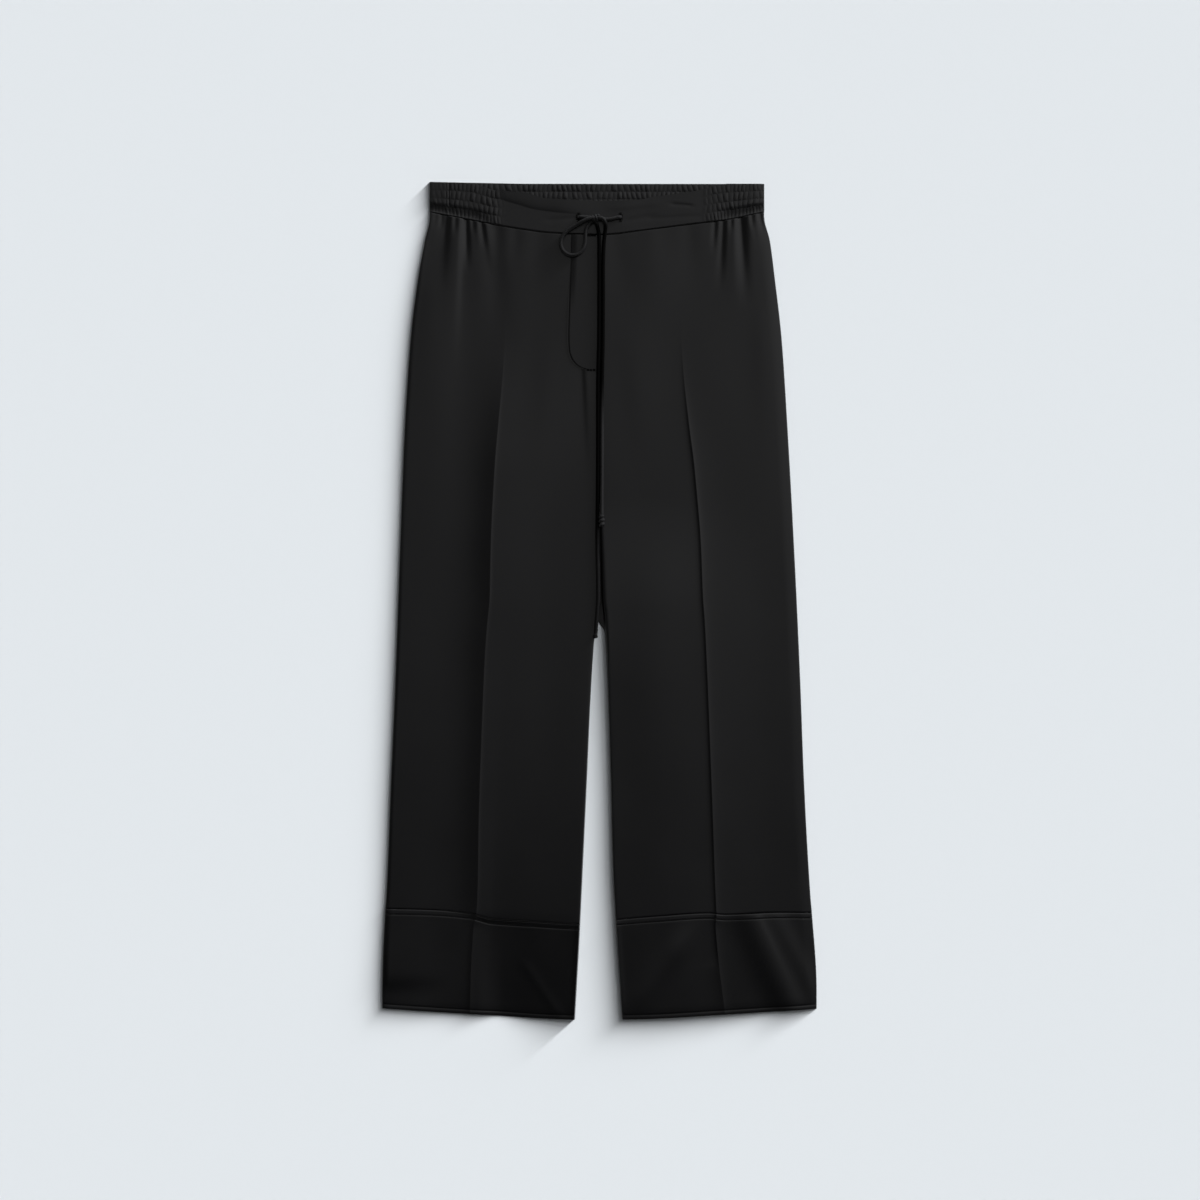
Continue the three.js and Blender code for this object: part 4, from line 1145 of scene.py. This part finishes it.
def hem_path(side):
    outer, inner = HEM_SEWN
    x = np.linspace(side_x[side](HEM_Y) * outer, inseam_x[side](HEM_Y) * inner, 90)
    y = hem_edge(x) + HEM_STITCH
    share = np.full_like(x, CREASE[side])
    crease_x = mix(side_x[side](y), inseam_x[side](y), pushed(side, share, y))
    return line_of(x, y, band_height(side, x, y, crease_x, BAND_CLOTH) - HEM_SUNK)


def channel_paths():
    paths = []
    for side in SIDES:
        ends = sorted((band_end[side] * CHANNEL_INSET, BAND_SIDE_X[side]))
        for down, *_ in SIDE_ROWS[1:]:
            x = np.linspace(*ends, 60)
            lean = fall(np.abs(x - band_end[side]), *SIDE_FALL[side]) + hollow(down)
            y = mix(front_top(x), band_foot(x), down)
            paths.append(line_of(x, y, LOFT + BAND_CLOTH - lean + SIDE_PROUD))
    for down, *_ in BACK_ROWS[1:3]:
        x = np.linspace(band_end["right"] * CHANNEL_INSET, band_end["left"] * CHANNEL_INSET, 200)
        y = mix(back_top(x), back_waist_seam(x), down)
        paths.append(line_of(x, y, SOLID_CLOTH + BACK_PROUD))
    return paths


def fly_path():
    """The J of the fly, a little inside its edge, as far as the bartack."""
    y = np.concatenate([np.linspace(421, 300, 60), np.linspace(298, 268.4, 40)])
    x = fly_edge(y) + FLY_SEWN_INSET
    y = y + 1.2 * smooth((292 - y) / 22)  # the bend of the J lies further in
    return line_of(x, y, fly_height(x, y) + FLY_PROUD)


def bartack_paths():
    """Close threads across the foot of the J and just under the waist seam."""
    lines = []
    for start_x, end_x, low_y in BARTACKS:
        for number in range(BARTACK_THREADS):
            x = np.linspace(start_x, end_x, 3)
            y = np.full_like(x, low_y + BARTACK_PITCH * number)
            lines.append(line_of(x, y, fly_height(x, y) + BARTACK_PROUD))
    return lines


def buttonhole_paths():
    """Short threads round each slot: fanned round its ends, level along its straight sides."""
    paths = []
    for centre in BUTTONHOLES:
        for turn in np.linspace(0, 2 * np.pi, HOLE_THREADS, endpoint=False):
            across, up = math.cos(turn), math.sin(turn)
            edge, out = (across * 1.05, math.copysign(2.6, up) + up * 1.1), (across * 1.5, up * 1.3)
            if abs(up) < HOLE_CORNER:
                edge, out = (math.copysign(1.0, across), 4.6 * up / 0.98), (across * 1.5, up * 0.1)
            inner = np.add(centre, edge)
            ends = np.array([inner, inner + out])
            paths.append(line_of(*ends.T, LOFT + BAND_CLOTH + HOLE_PROUD))
    return paths


print("lines on the waistband:", len(channel_paths()))
print("threads at the buttonholes:", len(buttonhole_paths()))

# %% [markdown]
# The tree: resample each path at one stitch and one gap, put a stretched ball on each point, turn it
# along the path, and make the result real.

# %% Node helpers and the stitch tree
STITCH_SWAY = 0.05  # how unevenly the stitches turn


def linear(hex_colour):
    """An sRGB hex colour as linear RGBA."""
    channels = [int(hex_colour[i:i + 2], 16) / 255 for i in (1, 3, 5)]
    return (*[c / 12.92 if c <= 0.04045 else ((c + 0.055) / 1.055) ** 2.4 for c in channels], 1)


def add(tree, kind, settings=None, **links):
    """A new node. settings are its properties, and links go to its inputs, as values or sockets."""
    node = tree.nodes.new(kind)
    for key, value in (settings or {}).items():
        setattr(node, key, value)
    for key, value in links.items():
        name = key.replace("_", " ")
        match = [s for s in node.inputs if s.name.lower() == name.lower() and s.enabled]
        socket = match[0] if match else node.inputs[int(key[1:])]
        if isinstance(value, bpy.types.NodeSocket):
            tree.links.new(value, socket)
        else:
            socket.default_value = value
    return node


def maths(tree, operation, first, second):
    return add(tree, "ShaderNodeMath", {"operation": operation}, _0=first, _1=second).outputs[0]


def blend(tree, factor, first, second):
    """A colour between two."""
    colours = {"data_type": "RGBA"}
    return add(tree, "ShaderNodeMix", colours, Factor=factor, _6=first, _7=second).outputs[2]


def slope(tree, value, start, end, low=0.0, high=1.0):
    """A soft step of a value from low to high."""
    limits = {"From_Min": start, "From_Max": end, "To_Min": low, "To_Max": high}
    settings = {"interpolation_type": "SMOOTHSTEP"}
    return add(tree, "ShaderNodeMapRange", settings, Value=value, **limits).outputs[0]


def stitch_tree():
    tree = bpy.data.node_groups.new("stitches along a path", "GeometryNodeTree")
    interface = tree.interface
    interface.new_socket("Geometry", in_out="INPUT", socket_type="NodeSocketGeometry")
    for name, value in (("Stitch length", 2.4 * MM), ("Gap", 0.5 * MM), ("Thread width", 0.42 * MM)):
        interface.new_socket(name, in_out="INPUT", socket_type="NodeSocketFloat").default_value = value
    interface.new_socket("Seed", in_out="INPUT", socket_type="NodeSocketInt").default_value = 3
    interface.new_socket("Thread", in_out="INPUT", socket_type="NodeSocketMaterial")
    interface.new_socket("Geometry", in_out="OUTPUT", socket_type="NodeSocketGeometry")
    given = add(tree, "NodeGroupInput").outputs
    step = maths(tree, "ADD", given["Stitch length"], given["Gap"])
    half = maths(tree, "MULTIPLY", given["Stitch length"], 0.5)
    thin = maths(tree, "MULTIPLY", given["Thread width"], 0.5)
    spaced = add(
        tree, "GeometryNodeResampleCurve", {"mode": "LENGTH"}, Curve=given["Geometry"], Length=step,
    )
    ball = add(tree, "GeometryNodeMeshUVSphere", Segments=8, Rings=5, Radius=1.0)
    rounded_ball = add(tree, "GeometryNodeSetShadeSmooth", Geometry=ball.outputs[0])
    tangent = add(tree, "GeometryNodeInputTangent")
    sway = add(
        tree, "FunctionNodeRandomValue", {"data_type": "FLOAT_VECTOR"}, Min=(-STITCH_SWAY,) * 3,
        Max=(STITCH_SWAY,) * 3, Seed=given["Seed"],
    )
    swayed = add(
        tree, "ShaderNodeVectorMath", {"operation": "ADD"}, _0=tangent.outputs[0], _1=sway.outputs[0]
    )
    turned = add(tree, "FunctionNodeAlignRotationToVector", {"axis": "X"}, Vector=swayed.outputs[0])
    size = add(tree, "ShaderNodeCombineXYZ", X=half, Y=thin, Z=thin)
    placed = add(
        tree, "GeometryNodeInstanceOnPoints", Points=spaced.outputs[0],
        Instance=rounded_ball.outputs[0], Rotation=turned.outputs[0], Scale=size.outputs[0],
    )
    real = add(tree, "GeometryNodeRealizeInstances", Geometry=placed.outputs[0])
    painted = add(tree, "GeometryNodeSetMaterial", Geometry=real.outputs[0], Material=given["Thread"])
    out = add(tree, "NodeGroupOutput")
    tree.links.new(painted.outputs[0], out.inputs[0])
    return tree


STITCH_TREE = stitch_tree()
SOCKETS = {s.name: s.identifier for s in STITCH_TREE.interface.items_tree if s.in_out == "INPUT"}
print("stitch tree inputs:", SOCKETS)

# %% [markdown]
# Materials. Satin is a weave whose warp floats over several wefts, so it has a smooth face with a soft
# gloss along the warp. Black dye leaves little colour of its own: what the eye sees is mostly the
# light's reflection. Hence a very dark base, a middling roughness that wanders a little, and a fine
# bump. Thread spacing is about 0.12 mm. That is too fine to show here, so the weave is drawn at 0.5 mm.

# %% Satin
WEAVE_MM = 0.5
WEAVE_HEIGHT_MM = 0.05
CLOUD = 0.06  # metres across which the tone and the gloss wander
TONE_WANDER, GLOSS_WANDER = 0.14, 0.025
SATIN_SHADER = {"IOR": 1.5, "Sheen Weight": 0.03, "Sheen Roughness": 0.4}  # the sheen is loose fibre


def satin(name, colour, roughness, weave=0.12, along=(1, 0.12, 1)):
    """Woven satin. along stretches the threads: the warp runs down the leg."""
    material = bpy.data.materials.new(name)
    material.use_nodes = True
    tree = material.node_tree
    shader = tree.nodes["Principled BSDF"]
    for key, value in SATIN_SHADER.items():
        shader.inputs[key].default_value = value
    place = add(tree, "ShaderNodeTexCoord").outputs["Object"]
    threads = add(tree, "ShaderNodeMapping", Vector=place, Scale=along)
    weave_noise = add(
        tree, "ShaderNodeTexNoise", Vector=threads.outputs[0], Scale=1 / (WEAVE_MM * MM), Detail=1.0
    )
    cloudy = add(tree, "ShaderNodeTexNoise", Vector=place, Scale=1 / CLOUD, Detail=2.0).outputs[0]
    tone = np.array(linear(colour)[:3])
    dark, light = ((*(tone * level), 1) for level in (1 - TONE_WANDER, 1 + TONE_WANDER))
    tree.links.new(blend(tree, cloudy, dark, light), shader.inputs["Base Color"])
    gloss = add(
        tree, "ShaderNodeMapRange", Value=cloudy, To_Min=roughness - GLOSS_WANDER,
        To_Max=roughness + GLOSS_WANDER,
    )
    tree.links.new(gloss.outputs[0], shader.inputs["Roughness"])
    bump = add(
        tree, "ShaderNodeBump", Strength=weave, Distance=WEAVE_HEIGHT_MM * MM,
        Height=weave_noise.outputs[0],
    )
    tree.links.new(bump.outputs[0], shader.inputs["Normal"])
    return material


# The legs and the fly: a clear, soft gloss that runs down the creases.
SATIN_FACE = satin("black satin, face", "#0d0d0e", 0.30)
# The interfacing stiffens the band, and its gloss spreads a little.
SATIN_BAND = satin("black satin, interfaced band", "#0d0d0e", 0.31)
# Stretched and crumpled cloth: the gloss breaks up, and each rib has a dull light on it.
SATIN_ELASTIC = satin("black satin, gathered on elastic", "#0f0f10", 0.36)
# The weave's other side, duller and greyer.
SATIN_INSIDE = satin("black satin, inside of the waistband", "#121213", 0.38)
# The hems are painted a little darker than the legs: painted shade, for the darker lower end of the
# trousers.
SATIN_HEM_PAINTED_SHADE = satin("black satin, doubled hem, painted shade", "#0b0b0c", 0.30)
# A tube of cloth cut aslant scatters most of the gloss, and shows one broad dull light.
SATIN_CORD = {
    strand: satin(f"black satin rouleau cord, {strand} strand", "#050505", 0.52, 0.2, (1, 0.5, 1))
    for strand in ("long", "short")
}
# Matt and nearly black, so the sewing shows as a fine dark line.
THREAD = satin("black polyester thread", "#050505", 0.6, 0.3, (1, 1, 1))
THREAD.node_tree.nodes["Principled BSDF"].inputs["Specular IOR Level"].default_value = 0.18
print("materials:", [material.name for material in bpy.data.materials])

# %% [markdown]
# The cord's colour and gloss are painted by place. Painted shade, a near black with hardly any gloss,
# lies where both strands hang over the fly. Painted light, a lighter grey with more gloss, lies at the
# loop, the leads and the short strand's lower end. A few soft steps in place, multiplied, make one mask
# from painted light, 0, to painted shade, 1. The long strand's lower end keeps six tenths of the shade.

# %% Painted shade and light along the cord
PAINTED_SHADE_STEPS = {  # coordinate, from and to in metres, mask at the start of the step
    "long": ((1, 0.04, 0.10, 0.6), (1, 0.444, 0.432, 0.0), (0, -0.014, -0.007, 0.0)),
    "short": ((1, 0.19, 0.26, 0.0), (1, 0.444, 0.432, 0.0), (0, -0.014, -0.007, 0.0)),
}
# Painted light on the cord is a lighter grey with more gloss, and painted shade is a near black with
# hardly any gloss.
PAINTED_LIGHT_SPECULAR, PAINTED_SHADE_SPECULAR = 0.42, 0.03
PAINTED_LIGHT_HEX, PAINTED_SHADE_HEX = "#151516", "#040404"


def paint_cord_shade_and_light(material, shade_steps):
    tree = material.node_tree
    place = add(tree, "ShaderNodeTexCoord").outputs["Object"]
    parts = add(tree, "ShaderNodeSeparateXYZ", Vector=place).outputs
    mask = None
    for part, start, end, least in shade_steps:
        step = slope(tree, parts[part], start, end, least)
        mask = maths(tree, "MULTIPLY", mask, step) if mask else step
    # The mask paints the cord's shade and light into its specular level and its colour.
    level = add(tree, "ShaderNodeMapRange", Value=mask, To_Min=PAINTED_LIGHT_SPECULAR, To_Max=PAINTED_SHADE_SPECULAR)
    shader = tree.nodes["Principled BSDF"]
    shader.inputs["Sheen Weight"].default_value = 0.0
    tree.links.new(level.outputs[0], shader.inputs["Specular IOR Level"])
    tree.links.new(blend(tree, mask, linear(PAINTED_LIGHT_HEX), linear(PAINTED_SHADE_HEX)), shader.inputs["Base Color"])


for strand, material in SATIN_CORD.items():
    paint_cord_shade_and_light(material, PAINTED_SHADE_STEPS[strand])
    print(material.name, "mask steps:", len(PAINTED_SHADE_STEPS[strand]))

# %% [markdown]
# The stitches are made now that their thread exists. Each group's curve goes through the tree once,
# and the plain mesh that comes out is what stays.

# %% Stitches


def sewn(name, paths, stitch=2.4, gap=0.5, thread=0.42):
    """Stitches along the paths, as a plain mesh."""
    data = bpy.data.curves.new(name, "CURVE")
    data.dimensions = "3D"
    for path in paths:
        spline = data.splines.new("POLY")
        spline.points.add(len(path) - 1)
        for point, place in zip(spline.points, path * MM):
            point.co = (*place, 1)
    guide = bpy.data.objects.new(name + "_guide", data)
    bpy.context.scene.collection.objects.link(guide)
    modifier = guide.modifiers.new("stitches", "NODES")
    modifier.node_group = STITCH_TREE
    sizes = {"Stitch length": stitch * MM, "Gap": gap * MM, "Thread width": thread * MM, "Thread": THREAD}
    for socket, value in sizes.items():
        modifier[SOCKETS[socket]] = value
    evaluated = guide.evaluated_get(bpy.context.evaluated_depsgraph_get())
    made = bpy.data.objects.new(name, bpy.data.meshes.new_from_object(evaluated))
    bpy.data.objects.remove(guide)
    bpy.context.scene.collection.objects.link(made)
    print(name, "faces:", len(made.data.polygons))
    return made


stitches = {
    "satin_hem": sewn("stitches_hem", [hem_path(side) for side in SIDES]),
    "satin_waistband": sewn("stitches_waistband", channel_paths(), 2.2, 0.6, 0.4),
    "satin_front": sewn("stitches_fly", [fly_path()], 2.3, 0.4, 0.5),
}
bartack = sewn("bartack", bartack_paths(), 3.2, -0.6, 0.6)
buttonhole_threads = sewn("buttonhole_threads", buttonhole_paths(), 1.4, 0.2, 0.42)

# %% [markdown]
# Every piece now rides on the one body and replaces its solid, and the cloth takes its material.


def dress(piece, material, slot_name, *nodes):
    """Rides, finish and the solids that the piece stands for."""
    if material:
        piece.data.materials.clear()
        piece.data.materials.append(material)
    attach(piece, "root")
    if nodes:
        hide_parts(*nodes)
    return piece


def cloth(piece, material, slot_name, node, flat, area, rests_on, with_pieces=()):
    dress(piece, material, slot_name, node)


for piece_slot, piece in stitches.items():
    dress(piece, None, piece_slot)
dress(bartack, None, "satin_front")
dress(buttonhole_threads, None, "satin_waistband")

for side in SIDES:
    cloth(fronts[side], SATIN_FACE, "satin_front", f"front_{side}", (0.250, 0.815), 0.176,
          [f"satin_back_{side}"])
    cloth(backs[side], SATIN_FACE, "satin_back", f"back_{side}", (0.250, 0.815), 0.180, [])
    for kind, piece in leg_ends[side].items():
        is_piping = "piping" in kind
        # The hem bands take the satin that is painted a little darker, as shade.
        finish = (SATIN_FACE, "satin_piping") if is_piping else (SATIN_HEM_PAINTED_SHADE, "satin_hem")
        size, area = ((0.226, 0.010), 0.00136) if is_piping else ((0.228, 0.108), None)
        under = [f"satin_{'piping' if is_piping else 'hem'}_back_{side}"] if "front" in kind else []
        cloth(piece, *finish, f"{kind}_{side}", size, area, under)
    cloth(waistband_sides[side], SATIN_ELASTIC, "satin_waistband", f"waistband_side_{side}",
          (0.100, 0.038), 0.0034, ["satin_waistband_back"])
cloth(waistband_plain, SATIN_BAND, "satin_waistband", "waistband_front", (0.252, 0.039), None,
      ["satin_waistband_back"])
cloth(waistband_rear, SATIN_INSIDE, "satin_inside", "waistband_back", (0.520, 0.034), None, [])
cloth(fly_piece, SATIN_FACE, "satin_front", "fly", (0.158, 0.037), None, ["satin_front_right"])
print("solids dressed in cloth:", 3 + sum(len(leg_ends[side]) + 3 for side in SIDES))

# %% [markdown]
# The cord's two halves are limp and lie loose on the cloth. Each starts at its buttonhole, because
# what runs on in the waistband's tunnel doesn't show, and each ends in its knot.

KNOT_SLOT = "satin_cord"
for piece, strand, node in (
    (bow_knot, "long", "drawstring_knot"), (tip_short, "short", "end_knot_short"),
    (tip_long, "long", "end_knot_long"),
):
    dress(piece, SATIN_CORD[strand], KNOT_SLOT, node)
dress(
    cord_long, SATIN_CORD["long"], KNOT_SLOT,
    "drawstring_lead_right", "drawstring_loop", "drawstring_strand_long",
)
dress(cord_short, SATIN_CORD["short"], KNOT_SLOT, "drawstring_lead_left", "drawstring_strand_short")
print("cords in metres:", [round(route_length(line), 3) for line in (long_line, short_line)])

# %% [markdown]
# Light. The floor is pale and even, with a soft shadow to the left of the cloth and below it, so the
# key light stands low at the upper right. Suns one above the other make one tall soft light without
# the fall-off that a near lamp has. What the satin mirrors is the sky overhead, and the suns are kept
# out of it: the sky is brighter to the right and towards the waist and dark to the left, which is what
# draws the creases and the gathers. Near the horizon it is pale all round, as a room's walls are, and
# a low view sees an even pale wall behind the floor.

# %% Floor, key light and sky
FLOOR_HEX = "#e1e6ea"
FLOOR_SIZE = 120  # metres, so that its edge is past the horizon in a low view
FLOOR_Z = -0.05  # mm, a hair under the cloth
KEY_AZIMUTH = math.radians(42)  # from +X towards +Y
KEY_ROWS = (  # elevation and width in degrees, share of the floor's light
    (5.5, 6, 0.065), (8, 6, 0.09), (11, 7, 0.125), (16, 9, 0.18), (25, 12, 0.20), (42, 16, 0.14),
)
SKY = 0.67
SKY_ACROSS = (-0.42, 0.42, 0.12, 0.97)  # from dark at the left to full at the right
SKY_DOWN = (-0.16, 0.10, 0.0, 1.0)  # from dark at the hems' end to full at the waist's
SKY_LOW = (0.40, 0.20, 0.0, 0.45)  # near the horizon it is pale on every side
SEEN_SKY = 0.75  # what a low view shows behind the floor


def floor():
    half = FLOOR_SIZE / 2 / MM
    corners = [(a * half, b * half, FLOOR_Z) for a, b in ((-1, -1), (1, -1), (1, 1), (-1, 1))]
    made = new_object("floor", corners, [[0, 1, 2, 3]], smooth_faces=False)
    material = bpy.data.materials.new("pale painted board")
    material.use_nodes = True
    shader = material.node_tree.nodes["Principled BSDF"]
    finish = {"Base Color": linear(FLOOR_HEX), "Roughness": 0.9, "Specular IOR Level": 0.0}  # no shine
    for key, value in finish.items():
        shader.inputs[key].default_value = value
    made.data.materials.append(material)
    return made


def key_lights():
    for number, (elevation, width, share) in enumerate(KEY_ROWS):
        light = bpy.data.objects.new(f"key_{number}", bpy.data.lights.new(f"key_{number}", "SUN"))
        up = math.radians(elevation)
        light.data.energy = math.pi * share / math.sin(up)
        light.data.angle = math.radians(width)
        light.visible_glossy = False
        level = math.cos(up)
        back = (level * math.cos(KEY_AZIMUTH), level * math.sin(KEY_AZIMUTH), math.sin(up))
        light.rotation_mode = "QUATERNION"
        light.rotation_quaternion = Vector(back).to_track_quat("Z", "Y")
        bpy.context.scene.collection.objects.link(light)


def sky():
    """A sky whose brightness follows the direction."""
    world = bpy.data.worlds.new("studio")
    world.use_nodes = True
    bpy.context.scene.world = world
    tree = world.node_tree
    background = tree.nodes["Background"]
    background.inputs["Color"].default_value = (1, 1, 1, 1)
    way = add(tree, "ShaderNodeTexCoord").outputs["Generated"]
    across, down, up = add(tree, "ShaderNodeSeparateXYZ", Vector=way).outputs
    both = maths(tree, "MULTIPLY", slope(tree, across, *SKY_ACROSS), slope(tree, down, *SKY_DOWN))
    pale = maths(tree, "MAXIMUM", maths(tree, "MULTIPLY", both, SKY), slope(tree, up, *SKY_LOW))
    camera_ray = add(tree, "ShaderNodeLightPath").outputs["Is Camera Ray"]
    final = maths(tree, "MAXIMUM", pale, maths(tree, "MULTIPLY", camera_ray, SEEN_SKY))
    tree.links.new(final, background.inputs["Strength"])


floor()
key_lights()
sky()
bpy.context.scene.view_settings.view_transform = "Standard"
print("the suns' share of the floor's light:", round(sum(share for *_, share in KEY_ROWS), 2))
